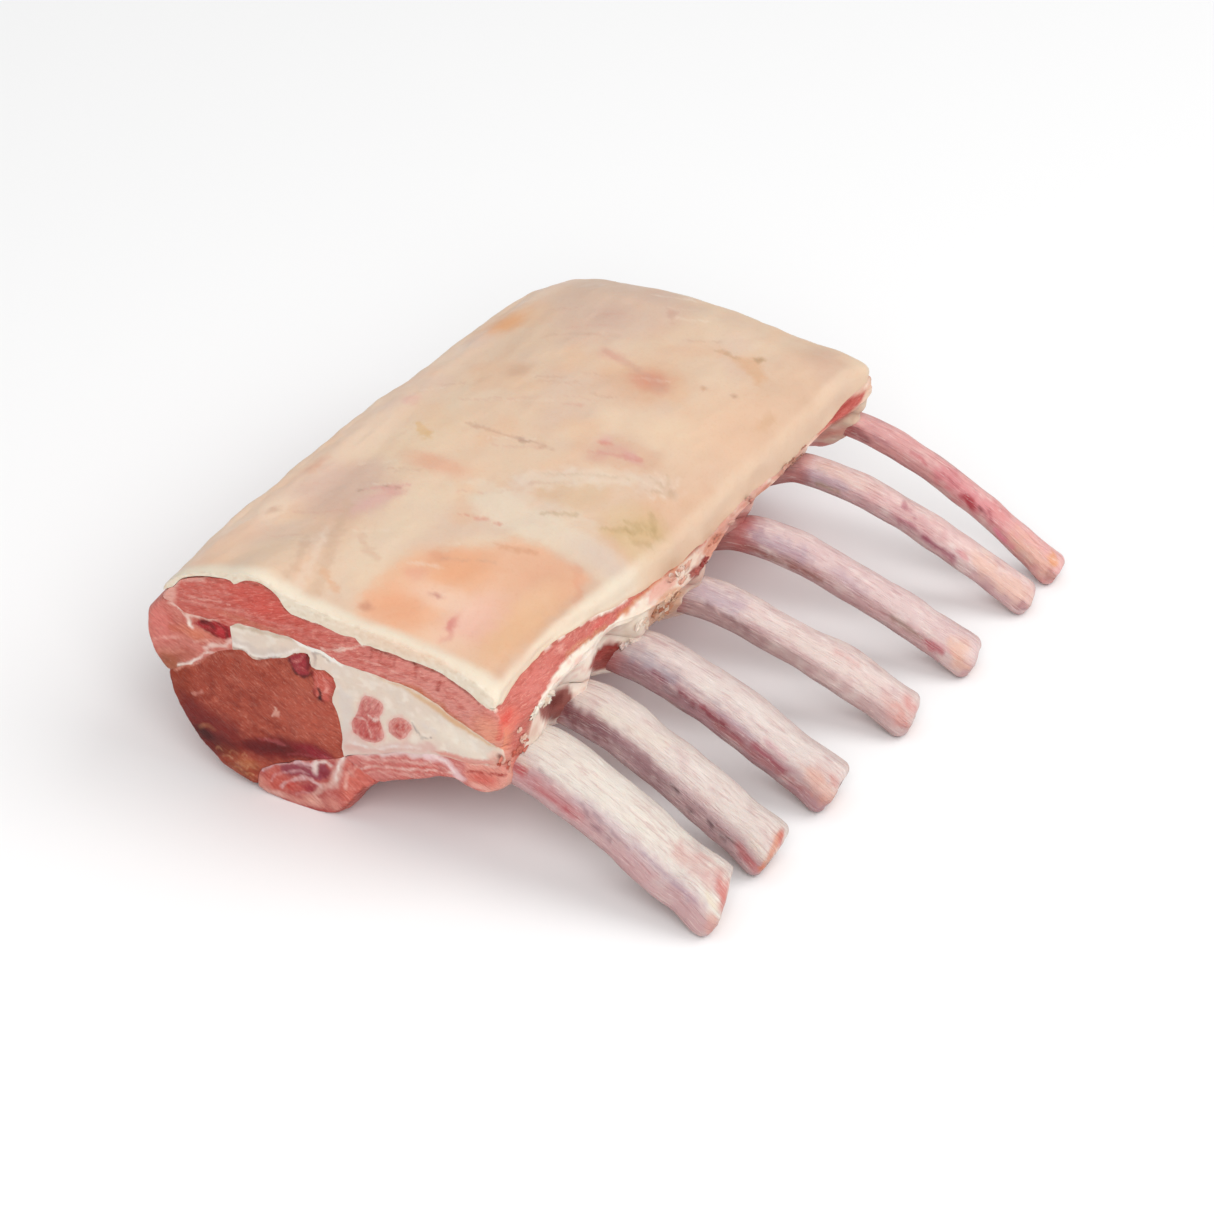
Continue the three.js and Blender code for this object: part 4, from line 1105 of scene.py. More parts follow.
def paint_spine_muscle(paint):
    paint_cut_face(paint)
    paint.mottle("b24d41", (3, 3, 2), 0.5, 0.0, 0.5, 41)
    paint.spot("dc7d74", (-46, 39), (3.4, 5), 0.8)
    paint.stroke("b84e46", [(-43, 37), (-42, 39.6), (-42.2, 42)], 0.9, 0.45)
    paint.spot("955438", (-43.6, 28.6), (3.6, 2.8), 0.8)
    paint.spot("a04f38", (-40, 31.6), (4, 1.8), 0.5, tilt=25)
    paint.spot("d37c62", (-35, 39.2), (4, 1.4), 0.7, tilt=14)
    paint.stroke("cd7458", [(-42, 38.4), (-38, 39.4), (-34, 38.2)], 1.0, 0.5)
    paint.area("a0242b", [(-36.4, 42), (-33, 43.5), (-28, 44.1), (-26, 43.6), (-25.5, 40.2), (-28, 39.8),
                          (-31, 40.6), (-34, 41.4)], 0.98, 0.3)
    paint.stroke("560a0e", [(-34, 42.7), (-31.6, 43.1), (-30, 42.4)], 0.5, 0.9)
    paint.stroke("6a1014", [(-29, 43.6), (-27.2, 42.4), (-26.8, 40.6)], 0.4, 0.8)
    paint.stroke("741416", [(-32.6, 41.2), (-29.4, 40.5)], 0.4, 0.6)
    paint.spot("bf3a40", (-28.6, 42), (1.2, 1), 0.7)
    paint.stroke("eedcd0", [(-38.6, 43.6), (-37.4, 42.4), (-37.4, 41.2), (-36.4, 40.6)], 0.35, 0.8, lean=0)
    paint.stroke("ead3c6", [(-43, 45), (-40.6, 44.8), (-38.4, 43.8), (-34, 43.9), (-30, 44.5)], 0.4, 0.6,
                 lean=0)
    paint.stroke("e2a498", [(-47.6, 34), (-44, 35.4), (-40.6, 36.4)], 0.4, 0.6)
    paint.stroke("d88f82", [(-47, 37), (-44.6, 38)], 0.3, 0.5)
    paint.stroke("ecd6ca", [(-33, 36), (-30.4, 37.4), (-28, 38.2), (-26, 39.6)], 0.6, 0.65, lean=0)
    paint.stroke("dba698", [(-36, 36.6), (-32, 38.4), (-29, 39.2)], 0.35, 0.6)
    paint.stroke("e6d3c9", [(-41, 28.4), (-38, 29.6), (-36.4, 31.4), (-34.4, 32.8), (-33, 34.4),
                            (-31.4, 35)], 0.34, 0.9, lean=0)
    paint.stroke("d88a78", [(-46, 31), (-42, 31.8), (-39, 33.2)], 0.5, 0.5)
    paint.stroke("7a5430", [(-45, 27), (-42.6, 26.6), (-40, 28)], 0.4, 0.7)


def paint_seam_fat(paint):
    paint_cut_face(paint)
    paint.mottle("eee2d5", (3, 3, 2), 0.6, 0.0, 0.5, 51)
    paint.mottle("dccdc0", (5, 3, 2.4), 0.4, 0.1, 0.6, 52)
    paint.stroke("bda58c", [(-25.4, 44.8), (-19, 45.2), (-12, 45.4), (-9, 45.4)], 0.6, 0.7)
    paint.stroke("cbbdb6", [(-25, 40), (-20, 39.4), (-16, 39.4), (-11, 41.6)], 1.1, 0.6)
    paint.stroke("efe6de", [(-25.6, 39.2), (-22, 39), (-20, 38), (-18, 38.2), (-14, 39.8), (-10, 41.8),
                            (-7, 43.4)], 0.4, 0.8)
    paint.stroke("7c3a30", [(-25.6, 38), (-22.4, 38.3), (-19.6, 37.2), (-17.2, 37.8), (-13, 39.5)], 0.22,
                 0.7)
    paint.stroke("f5f1ea", [(-8.6, 46), (-6, 45.4), (-4, 44.6), (0, 44.5), (4, 43.4)], 0.6, 0.9)
    paint.stroke("b6a298", [(-3.4, 43.6), (-3, 42.2), (-3.2, 40.6)], 0.35, 0.7)
    paint.stroke("a29084", [(-3, 44), (-1, 43.6), (1, 43)], 0.25, 0.6)
    paint.area("d8b08a", [(13, 42.8), (19, 42.6), (26, 41.8), (31, 40), (36, 37.8), (41, 36.4),
                          (47, 34.8), (44, 34.6), (38, 35.8), (33, 37.4), (28, 39.6), (22, 41.6)], 0.9, 0.7)
    paint.spot("d8a884", (34, 38.4), (5, 0.6), 0.6, tilt=-24)
    paint.spot("f1e6d6", (35, 33), (8, 2.6), 0.6, tilt=-12)
    paint.area("d8cdc6", [(3, 38), (7, 35), (7, 26), (5, 20), (3.6, 22), (4, 28)], 0.6, 1)
    paint.area("dcbfb6", [(4, 17), (4, 24), (6, 26), (12, 24), (18, 27), (24, 28), (30, 29.4), (30, 25),
                          (16, 21)], 0.7, 1.2)
    paint.stroke("d9aca2", [(5.4, 20.6), (10, 21.8), (15, 23.2), (21, 25.8), (28, 28.4)], 1.0, 0.7)
    paint.stroke("e6dad4", [(6, 22.4), (13, 23), (18, 25), (25, 27.4)], 0.4, 0.7)
    paint.area("d98c80", [(28, 27), (33, 28.5), (40, 29), (44, 30), (45, 31.4), (50, 31), (50, 28),
                          (40, 27)], 0.85, 0.5, lean=0.6)
    paint.area("e3b3a2", [(43.6, 30.4), (45, 33), (47, 34), (50, 33), (50, 30), (46, 29.4)], 0.7, 0.5)
    home = paint.body.values["home"]
    for strip in LEAN_LOOPS.values():
        close = np.hypot(home[:, 0] - 14, home[:, 2] - 30) < 14
        gap = np.full(len(home), 9.0)
        gap[close] = distance_to(home[close][:, [0, 2]], curve_points([*strip, strip[0]], 0.5))
        gap += 0.5 * noise(paint.spots, 1.2, 53)
        paint.lay("e3b8ac", 0.8 * (1 - smoothstep(gap, 0, 0.8)))
    paint.stroke("a99c96", [(22.8, 33.2), (24.2, 31.4), (25.6, 30.3), (27.8, 30.5)], 0.25, 0.85)
    paint.stroke("b3a49c", [(24.4, 31.2), (25.4, 29.7)], 0.25, 0.6)
    paint.stroke("e0d2ca", [(26, 33.6), (29, 33)], 0.5, 0.6)
    # A dark spot where a small hole is: painted shade.
    paint.spot("7c4034", (46.8, 32), (0.9, 0.8), 0.85)
    paint.stroke("eccfbe", [(44, 31.4), (46, 33.2), (48.4, 33.4)], 0.6, 0.7)
    paint_rib_side(paint)


def paint_eye_ground(paint):
    paint_cut_face(paint)
    paint.mottle("843226", (4, 4, 3), 0.55, 0.0, 0.5, 61)
    paint.mottle("b8604c", (3, 3, 1.4), 0.4, 0.1, 0.5, 62)
    paint.spot("b25a49", (-5, 27), (9, 7), 0.6)
    paint.spot("ae5a48", (-6, 35), (4, 3), 0.5)
    paint.spot("964030", (-29, 32), (7, 3), 0.5, tilt=30)


def paint_eye_edge(paint):
    """The browned edge on the side of the spine, darkened towards the lower left partly by painted shade,
    and the purple one over the chine.
    """
    paint.area("86341a", [(-45, 29), (-38, 29), (-36.6, 20), (-35, 15), (-39, 10), (-46, 16)], 0.8, 2.2)
    # Darker towards the lower left: the meat's own brown, deepened by painted shade.
    paint.area("6e1a0c", [(-40, 22), (-33, 20), (-24, 18), (-22, 12), (-28, 6), (-36, 9), (-42, 15)], 0.8,
               2.6)
    paint.area("5a1410", [(-39, 13.6), (-36, 14.4), (-31, 13), (-26, 12.4), (-24, 10), (-29, 7), (-33, 6),
                          (-38, 9)], 0.65, 1.2)
    paint.spot("3e080a", (-33.6, 11.6), (2.6, 1.3), 0.8, tilt=-20)
    paint.spot("4a0e0c", (-29, 9), (2.4, 1.2), 0.6, tilt=-20)
    # A pale arc on the dark patch: painted highlight.
    paint.stroke("a8704e", [(-35.4, 13.2), (-33.6, 14.2), (-31.4, 13.8)], 0.5, 0.4)
    paint.area("701020", [(-24, 11.4), (-22.6, 14.4), (-18.4, 16.2), (-13, 18), (-8, 18.6), (-2, 18.8),
                          (1.8, 16.6), (0, 15), (-6, 13.4), (-12, 11.2), (-18, 10.4)], 0.95, 1.7)
    paint.spot("5a0c16", (-14, 14.6), (5, 1.4), 0.8, tilt=12)
    paint.spot("5f1114", (-20.6, 12.6), (3, 1.3), 0.7)
    paint.spot("8e2432", (-4, 16.8), (4, 1.6), 0.7)
    paint.spot("b04c58", (-0.6, 15.6), (1.6, 1), 0.6)
    paint.stroke("b05a5c", [(-18.4, 15.4), (-14.6, 16.4), (-11, 16)], 0.3, 0.6)
    paint.stroke("a04a50", [(-11, 13.6), (-7, 14.8), (-3, 15.2)], 0.3, 0.5)
    paint.spot("96442a", (-25, 7.6), (5, 2.4), 0.6, tilt=-14)
    # This tan spot and the swirls below are partly the meat's own tan and partly painted highlights.
    paint.spot("b8764e", (-21.8, 7.4), (2.6, 1.2), 0.5)
    paint.spot("8d4a26", (-24, 4.4), (3.4, 1.2), 0.6, tilt=-14)
    for x, z in ((-31, 8.6), (-28.6, 7), (-27, 9), (-25.4, 6.4), (-24, 9), (-22.4, 6.2), (-26, 4.8),
                 (-23, 4.2)):
        paint.stroke("c08a66", [(x, z), (x + 0.9, z + 0.8), (x + 2, z + 0.3)], 0.22, 0.5)


def paint_eye_rags(paint):
    """The rags of meat under the wedge of fat."""
    paint.area("94303a", [(-10.4, 40.3), (-9, 41.6), (-7, 42.4), (-4.6, 43), (-4.2, 40), (-4.6, 37.6),
                          (-6.6, 36.6), (-8.6, 38)], 0.9, 0.4)
    paint.stroke("520e12", [(-10, 40.2), (-8.6, 38), (-6.8, 36.8), (-5, 37.4), (-3.6, 38.8)], 0.32, 0.8)
    paint.stroke("5e1216", [(-4.7, 42.7), (-4.6, 41.2), (-4.8, 39.4)], 0.5, 0.8)
    paint.stroke("c06a68", [(-8.6, 40), (-7, 40.8), (-6, 41.8)], 0.3, 0.6)
    paint.stroke("b85a5c", [(-7.6, 38.6), (-6, 39.2)], 0.3, 0.5)
    paint.area("bf5c52", [(-3.4, 39.2), (-0.4, 39.6), (1.6, 38.6), (2.3, 36.4), (1.6, 33.6), (1, 32),
                          (-1.4, 31.6), (-2.8, 33.6)], 0.85, 0.4)
    paint.stroke("74201c", [(-3.7, 39), (-3.2, 36.6), (-2.8, 34), (-2, 32.2), (-0.4, 31.4)], 0.28, 0.8)
    paint.stroke("3c0808", [(-1.8, 35), (-1.1, 33.6), (-1.5, 32)], 0.42, 0.95)
    paint.stroke("d9958a", [(-0.4, 38), (0.6, 36.4), (0.4, 34.4)], 0.35, 0.7)
    paint.stroke("d08a80", [(-2.4, 37.8), (-1.8, 36)], 0.3, 0.5)
    paint.stroke("8f3a30", [(1.6, 38.2), (2, 35.6), (1.4, 33.4)], 0.3, 0.5)


def paint_eye_streaks(paint):
    paint.stroke("e3b6a6", [(-14.6, 23.4), (-13.8, 24.8), (-13.3, 26)], 0.28, 0.9)
    paint.stroke("d9a494", [(-13.3, 23.9), (-12.9, 25)], 0.25, 0.8)
    paint.stroke("c8887a", [(-36.4, 22.4), (-34.4, 23.6)], 0.4, 0.6)
    paint.stroke("cf8a78", [(-43, 26.6), (-39, 28.8), (-35.4, 30.8), (-32.6, 33.6)], 0.3, 0.6)
    paint.stroke("b8705f", [(-28, 35.8), (-23, 36.6), (-19.6, 35.6), (-15, 37.6)], 0.35, 0.4)


paint_eye = in_turn(paint_eye_ground, paint_eye_edge, paint_eye_rags, paint_eye_streaks)


def paint_chine(paint):
    x = paint.spots[:, 0]
    paint_cut_face(paint)
    paint.lay("d06a5e", smoothstep(x, 1, 6))
    paint.mottle("a43f44", (3, 3, 1.6), 0.45, 0.0, 0.5, 71)
    paint.mottle("e09c90", (2.4, 2.4, 1.2), 0.45, 0.1, 0.5, 72)
    paint.spot("cf6052", (-14.6, 5), (3.4, 3.4), 0.7)
    paint.area("8f3f50", [(-13, 10.2), (-6, 12.4), (-1, 14), (0.8, 12), (-2, 9.4), (-8, 8.4), (-13, 8.2)],
               0.85, 0.6)
    paint.spot("9b2c3a", (-4.6, 6), (3, 1.4), 0.85, tilt=20)
    paint.spot("8c2430", (-0.6, 11.6), (1.4, 1), 0.7)
    paint.spot("c9463c", (-9.6, 5), (3, 1.4), 0.6)
    paint.stroke("d8b0b2", [(-18.4, 6.6), (-15, 9.3), (-10, 11.2), (-5, 12.9), (-1, 14.6)], 0.45, 0.9)
    paint.stroke("dcacac", [(-16, 4.6), (-13, 7.6), (-9, 9.4), (-5, 10)], 0.3, 0.6)
    paint.stroke("dcb0ae", [(-13, 3.6), (-11, 6), (-8, 7.8), (-5, 8.6), (-2.2, 7.6)], 0.4, 0.9)
    paint.stroke("cf9a9a", [(-9, 3), (-6.6, 4.4), (-4, 4), (-2, 3)], 0.3, 0.7)
    paint.stroke("d8a8a8", [(-8, 11), (-5, 11.6), (-3, 11)], 0.25, 0.6)
    paint.stroke("dfb3a6", [(-3.4, 4.6), (-1.6, 7.4), (1, 9.6), (2.4, 12)], 0.6, 0.7)
    paint.spot("ead6ce", (-3.4, 12.6), (0.9, 1.6), 0.9, lean=0)
    paint.stroke("e8d2ca", [(-2.8, 13.8), (-0.8, 14.7), (0.6, 14)], 0.5, 0.85, lean=0)
    # A light pink patch at the foot: painted highlight.
    paint.spot("e8ac9c", (-4.4, 2.6), (2.8, 1.4), 0.85)
    paint.spot("dd9486", (1, 3.6), (2.2, 2), 0.7)
    paint.spot("e6b8ac", (-15, 1.4), (3.4, 0.9), 0.8)
    paint.spot("e2a292", (-19.6, 3.2), (2.6, 1.8), 0.6)
    paint.spot("e0a596", (-9, 1.2), (3, 0.8), 0.6)
    paint.area("dcb6ac", [(0.6, 8), (1.4, 13), (2.4, 16), (3.2, 18.6), (5, 18.4), (4, 13), (2.6, 9)],
               0.85, 1.0, lean=0.3)
    paint.stroke("ecdcd4", [(2.2, 11), (2.8, 14.4), (3.8, 18)], 0.4, 0.8, lean=0)
    paint.stroke("e07a6a", [(5, 7.4), (6.4, 11), (8.4, 13.4)], 1.6, 0.55)
    paint.stroke("edb4a6", [(4.6, 9), (5.4, 13), (7.4, 16)], 0.35, 0.7)
    paint.stroke("8c3a30", [(2, 1), (5.6, 5), (10, 10.6)], 0.45, 0.6)


def paint_rib_meat(paint):
    paint_cut_face(paint)
    paint.mottle("c25c54", (6, 3, 1.2), 0.5, 0.0, 0.5, 81)
    paint.mottle("e8b0a6", (6, 3, 0.8), 0.5, 0.1, 0.5, 82)
    paint.stroke("c8544a", [(6, 12), (10, 16.4), (17, 19), (25, 21.4), (31, 22.6)], 1.0, 0.5)
    paint.stroke("ecc4ba", [(7, 14.6), (12, 17.8), (19, 19.8), (27, 21.8), (34, 23.4)], 0.35, 0.8)
    paint.stroke("e2aaa0", [(8, 13), (13, 16.6), (20, 18.8), (27, 20.6)], 0.3, 0.6)
    paint.stroke("e4b4aa", [(9, 19), (16, 21), (22, 22.4), (28, 24)], 0.35, 0.7)
    paint.stroke("dfcac6", [(4.6, 19), (9, 20.8), (15, 22.4), (22, 24.6), (29, 26.6)], 0.8, 0.9, lean=0)
    paint.stroke("c9a6a6", [(8, 21.2), (15, 23), (22, 25.4)], 0.3, 0.5)
    paint.stroke("e6c8c8", [(27, 25.4), (31, 26), (34, 24.8), (36, 22.2)], 1.1, 0.9, lean=0)
    paint.stroke("f0dcd8", [(28.6, 26), (32, 25.8), (34.4, 23.8)], 0.35, 0.7, lean=0)
    paint.area("e69a8a", [(37, 28), (41, 28.6), (46, 29.4), (50, 31), (50, 26), (46, 21.6), (40, 20.4),
                          (37.6, 23)], 0.85, 0.8)
    paint.spot("d4564a", (42, 24.4), (4, 1.6), 0.7, tilt=10)
    paint.spot("ebb0a2", (42, 21.8), (3, 0.8), 0.8)
    paint.spot("e7a696", (47.4, 25.2), (1.8, 2.4), 0.6)
    paint.stroke("a83630", [(37.6, 25.4), (41, 25.8), (45, 26.8), (48, 27.4)], 0.32, 0.9)
    paint.stroke("f0c0b0", [(38.6, 27.4), (42, 28.2), (46, 29.2)], 0.4, 0.7)
    paint.stroke("a8584a", [(14, 14), (22, 17), (31, 20.2)], 0.35, 0.5)
    paint_rib_side(paint)


def paint_strip(paint):
    paint_cut_face(paint)
    paint.mottle("b44844", (1.6, 3, 1.6), 0.7, -0.1, 0.4, 91)
    paint.mottle("e5b0a6", (1.0, 3, 1.8), 0.5, 0.05, 0.5, 92)
    paint.spot("bd4e4c", (10.6, 28), (3, 3), 0.5)
    paint.spot("dd9a92", (12.6, 34.6), (2, 2), 0.5)
    paint.stroke("ead0c6", [(14.4, 32), (12.4, 31), (11, 31.6)], 0.4, 0.8)
    paint.stroke("e6c0b6", [(8.4, 30.4), (10.4, 30), (11.6, 26)], 0.3, 0.6)
    frayed = paint.body.values["depth"] + 0.6 * noise(paint.spots, 1.1, 93)
    paint.lay("e0aaa0", 0.8 * (1 - smoothstep(frayed, 0, 1.0)), lean=0.5)


# Strokes of each rib: colour, points (X along the rib, 0 on top to 1 on the near side), half width
# and share.
RIB_STROKES = {
    1: [
        ("eadfd3", [(50, -0.1), (66, 0.05), (84, 0)], 3.6, 0.7),
        ("d5bcc0", [(66, 0.6), (80, 0.55), (94, 0.6)], 2.4, 0.6),
        ("cd7e80", [(50, 0.9), (58, 0.92), (67, 0.94)], 1.5, 0.55),
        ("b84850", [(54, 0.98), (60, 1), (66, 0.98)], 0.35, 0.6),
        ("c23f40", [(47, 0.7), (49.5, 0.8), (52, 0.8)], 1.3, 0.8),
        ("96707a", [(55, 0.55), (58, 0.6)], 0.5, 0.5),
        ("8d6671", [(65.4, 0.58), (69, 0.84), (74.6, 0.9)], 0.5, 0.6),
        ("93707c", [(69.6, 0.66), (74, 0.68), (78, 0.76)], 0.6, 0.55),
        ("a78896", [(80, 0.52), (86, 0.56), (95.5, 0.66)], 0.7, 0.6),
        ("cf7a78", [(86, 0.02), (92, 0.05), (98, 0.06)], 1.5, 0.4),
        ("dca8a0", [(91, -0.2), (97, -0.14)], 0.9, 0.6),
        ("cf5044", [(97.6, 0), (99, 0.15), (99.6, 0.3)], 1.3, 0.6),
        ("f0e2c8", [(96.6, 0.3), (97.6, 0.34)], 0.8, 0.7),
        ("e7cbbb", [(47.4, 0.5), (52, 0.6)], 1.0, 0.8),
        ("e0a090", [(98.6, 0.6), (99.4, 0.95)], 1.0, 0.6),
    ],
    2: [
        # Dark mauve on the near side at the root: partly the bone's colour, partly painted shade under the
        # meat.
        ("84474c", [(45, 0.7), (50, 0.75), (57, 0.8)], 2.8, 0.85),
        ("9c7278", [(57, 0.78), (66, 0.82), (74, 0.86)], 2.2, 0.7),
        ("c7a9a9", [(76, 0.7), (86, 0.72), (96, 0.75)], 2.4, 0.6),
        ("4f2e36", [(76, 0.82), (77.6, 0.84)], 0.45, 0.8),
        ("86646c", [(80, 0.78), (85.6, 0.77)], 0.5, 0.7),
        ("573840", [(80.6, 1.02), (83, 1.02)], 0.3, 0.7),
        ("6b4950", [(86, 0.92), (89, 0.95), (93, 0.91)], 0.45, 0.7),
        ("a5777c", [(88, 0.78), (93, 0.8)], 0.4, 0.5),
        ("eadccc", [(55, 0.28), (60, 0.2), (68, 0.1)], 1.6, 0.5),
        ("c5484a", [(94, 0.9), (97, 0.94), (99, 0.98)], 1.0, 0.6),
        ("d7835f", [(98.4, -0.1), (99.2, 0.4), (99.4, 0.9)], 0.7, 0.8),
        ("c44a44", [(98.4, -0.12), (99.4, 0)], 0.6, 0.7),
        ("e2d3c2", [(96.5, 0.5), (98, 0.6)], 1.6, 0.5),
    ],
    3: [
        # Grey-mauve at the root: painted shade under the overhanging fat.
        ("ab9ca5", [(50, 0.45), (54, 0.5), (58, 0.55)], 3.0, 0.7),
        ("8d3646", [(55.4, 0.7), (58, 0.78)], 0.8, 0.6),
        ("8f6a70", [(48, 0.95), (56, 0.95), (66, 0.95)], 0.8, 0.6),
        ("8a3440", [(62, 0.82), (66, 0.86)], 0.6, 0.75),
        ("9b2c3c", [(68, 0.82), (70.6, 0.84), (73.6, 0.86)], 0.8, 0.8),
        ("a84a58", [(76, 0.92), (79, 0.92)], 0.5, 0.6),
        ("a13a4a", [(81.6, 0.78), (85, 0.84), (89.6, 0.85)], 0.9, 0.7),
        ("cf959e", [(82.6, 0.4), (88, 0.5)], 0.8, 0.5),
        ("a48b92", [(60, 0.4), (65, 0.42), (70, 0.45)], 0.8, 0.5),
        ("b56e6e", [(72, 1.0), (84, 0.98), (96, 0.96)], 0.6, 0.7),
        ("e2a48e", [(96, 0.4), (99, 0.6)], 2.6, 0.6),
        ("c86a60", [(97.6, 0.1), (99, 0.14)], 0.7, 0.6),
        ("e5dad2", [(66, 0.1), (78, 0.05), (90, 0)], 1.6, 0.5),
        ("b7a2ac", [(72, 0.6), (80, 0.55)], 1.0, 0.5),
    ],
    4: [
        ("c1a9b2", [(47, 0.3), (52, 0.3), (57, 0.3)], 2.8, 0.8),
        ("8a6062", [(52, 0.7), (57, 0.82), (62, 0.9)], 0.8, 0.7),
        ("e3bdb8", [(54, 0.62), (55.4, 0.86), (59.4, 1.0)], 0.35, 0.8),
        ("bd979a", [(63.6, 0.6), (69, 0.6)], 1.0, 0.5),
        ("cd7f7c", [(80, 0), (86, 0.02)], 0.4, 0.6),
        ("d0705e", [(97.4, 0.3), (98.6, 0.6)], 1.6, 0.5),
        ("cc5a52", [(97.4, 0), (99.4, 0.04)], 1.0, 0.5),
        ("a98484", [(46, 0.9), (54, 0.95), (66, 1.0)], 1.0, 0.6),
        ("e2cfc6", [(70, 0.2), (80, 0.2), (90, 0.3)], 1.8, 0.6),
        ("dca9a0", [(94, 0.3), (97, 0.7)], 1.6, 0.5),
    ],
    5: [
        ("b2696a", [(46, 0), (46.6, 0.5), (47, 1)], 3.0, 0.8),
        ("b398a3", [(50, 0.4), (54, 0.5), (60, 0.5)], 2.4, 0.75),
        ("93584f", [(47, 1), (54, 1.05), (66, 1.0)], 0.7, 0.8),
        ("e3cfc9", [(51, 0.82), (52.4, 0.84)], 0.5, 0.7),
        ("e3cfc9", [(53.6, 0.9), (55, 0.9)], 0.5, 0.7),
        ("b0847e", [(56, 0.9), (66, 0.92)], 0.7, 0.6),
        ("c0a2aa", [(68, 0.4), (74, 0.5)], 1.6, 0.6),
        ("a28274", [(82.6, 0.8), (86, 0.82), (89.6, 0.82)], 0.8, 0.7),
        ("b34a58", [(91, 0.86), (95, 0.84)], 0.8, 0.8),
        ("d08088", [(93, 0.7), (97, 0.6)], 1.0, 0.5),
        ("e6b69e", [(97, 0.3), (99, 0.7)], 2.0, 0.7),
        ("dcc4c0", [(76, 0.2), (88, 0.3)], 1.6, 0.5),
        ("b78f92", [(72, 0.2), (75, 0.3)], 0.5, 0.5),
    ],
    6: [
        ("b299a3", [(48, 0.6), (52, 0.65), (55, 0.6)], 2.0, 0.75),
        ("9c8668", [(50, 1), (55, 0.98)], 0.5, 0.7),
        ("d7b4a8", [(50, 0.1), (56, 0.2), (62, 0.1)], 1.6, 0.6),
        ("d09c9c", [(62, 0.4), (70, 0.4), (78, 0.4)], 2.2, 0.6),
        ("a35566", [(69.6, 0.8), (71.4, 0.76), (73, 0.74)], 1.0, 0.75),
        ("aa6470", [(68.6, 0.03), (70.6, 0.08), (72, 0.2)], 0.5, 0.6),
        ("97425a", [(75.6, 0.92), (79, 0.88), (83, 0.94)], 0.8, 0.75),
        ("d88e96", [(82.6, 0.44), (85, 0.46)], 0.9, 0.7),
        ("e2b7a4", [(88, 0.3), (94, 0.4), (98, 0.4)], 2.4, 0.7),
        ("aa747a", [(99.4, 0.6), (99.8, 0.9)], 0.9, 0.8),
        ("a0787c", [(46, 0.7), (47, 1)], 1.4, 0.6),
    ],
    7: [
        ("8a4448", [(46, 0.8), (49, 0.85), (51, 0.95)], 1.2, 0.8),
        ("d69c9a", [(52, 0.4), (60, 0.4), (70, 0.4)], 3.0, 0.7),
        ("b58088", [(52.6, 0.66), (56, 0.7)], 0.8, 0.5),
        ("bf6068", [(61.6, 0.36), (65.4, 0.42)], 0.6, 0.7),
        ("d27880", [(70, 0.35), (76, 0.5), (84, 0.55)], 2.6, 0.7),
        ("b04854", [(70, 0.3), (73, 0.36), (76.6, 0.4)], 0.5, 0.75),
        ("a51f32", [(77, 0.62), (78, 0.72)], 1.3, 0.9),
        ("741a2c", [(80.6, 0.6), (81.8, 0.62)], 0.8, 0.85),
        ("a03848", [(82, 0.3), (84, 0.75)], 0.5, 0.6),
        ("e09694", [(85, 0.2), (90, 0.4)], 2.6, 0.7),
        ("ea7898", [(85.6, 1.0), (90.4, 1.0)], 0.7, 0.7),
        ("e3b49e", [(91, 0.5), (97, 0.5)], 2.6, 0.7),
        ("e59a62", [(97.4, 0), (98.8, 0.1)], 0.7, 0.7),
        ("b07870", [(99.4, 0.5), (99.8, 0.9)], 0.9, 0.7),
    ],
}

# Each rib's colour on top, on the near side, on the far side and underneath; the near side is darker partly
# by the bone's own mauve and partly by painted shade.
RIB_COLOURS = {
    1: ("eadfd5", "d0a8a8", "e0ccc0", "b88a85"), 2: ("e0d0c8", "c3a1a2", "d8bcb2", "a87c78"),
    3: ("dfccc6", "b98e92", "d9b8b0", "a87876"), 4: ("dfc9c3", "cbaba8", "d9bab2", "b08480"),
    5: ("dbbfbc", "c6a09f", "d8b4ae", "ac7e7c"), 6: ("e0c0bb", "cba5a5", "d9b5ae", "b3827f"),
    7: ("e6b0ac", "d69a97", "dfa8a2", "b8797a"),
}


TURN_TO_MM = 0.42  # millimetres round a rib for a turn of 1, per millimetre of its width plus depth


def paint_rib(paint, number, rib):
    values = paint.body.values
    turn, reach = values["turn"], values["reach"]
    top, near_side, far_side, under = RIB_COLOURS[number]
    wander = 0.12 * noise(paint.spots, (7, 3, 7), 41)
    paint.canvas(reach, turn, 1 - values["sawn"], (1, (rib["width"] + rib["depth"]) * TURN_TO_MM), 0.35)
    paint.lay(top)
    # The near side is laid darker: partly the bone's own mauve, partly painted shade.
    paint.lay(near_side, smoothstep(turn + wander, 0.38, 0.78))
    paint.lay(far_side, smoothstep(-turn + wander, 0.3, 0.9))
    paint.lay(under, smoothstep(np.abs(turn) + wander, 1.1, 1.6))
    paint.mottle("efe4dc", (9, 2, 5), 0.3, 0.1, 0.6, 101)
    paint.mottle("bd8f92", (8, 1.6, 4), 0.3, 0.1, 0.6, 102)
    for code, points, width, share in RIB_STROKES[number]:
        paint.stroke(code, points, width, share)
    paint.lay("b4564e", 0.5 * (1 - smoothstep(reach, 45, 48.6 + 2 * wander)), lean=0.5)
    paint.canvas(reach, turn, values["sawn"])
    rim = values["rim"] + 0.14 * noise(paint.spots, 2, 43)
    paint.lay("cf8f7c")
    paint.lay("e8c9a8", 0.8 * (1 - smoothstep(rim, 0.2, 0.7)))
    paint.lay("b23c38", 0.85 * smoothstep(rim, 0.7, 0.98))
    paint.mottle("9c2b2a", (1.2, 1.6, 1.2), 0.5, 0.15, 0.5, 103)


# ---------- Relief ----------


BULGE_REACH = 4.5  # how far inside its border a swollen muscle reaches most of its height


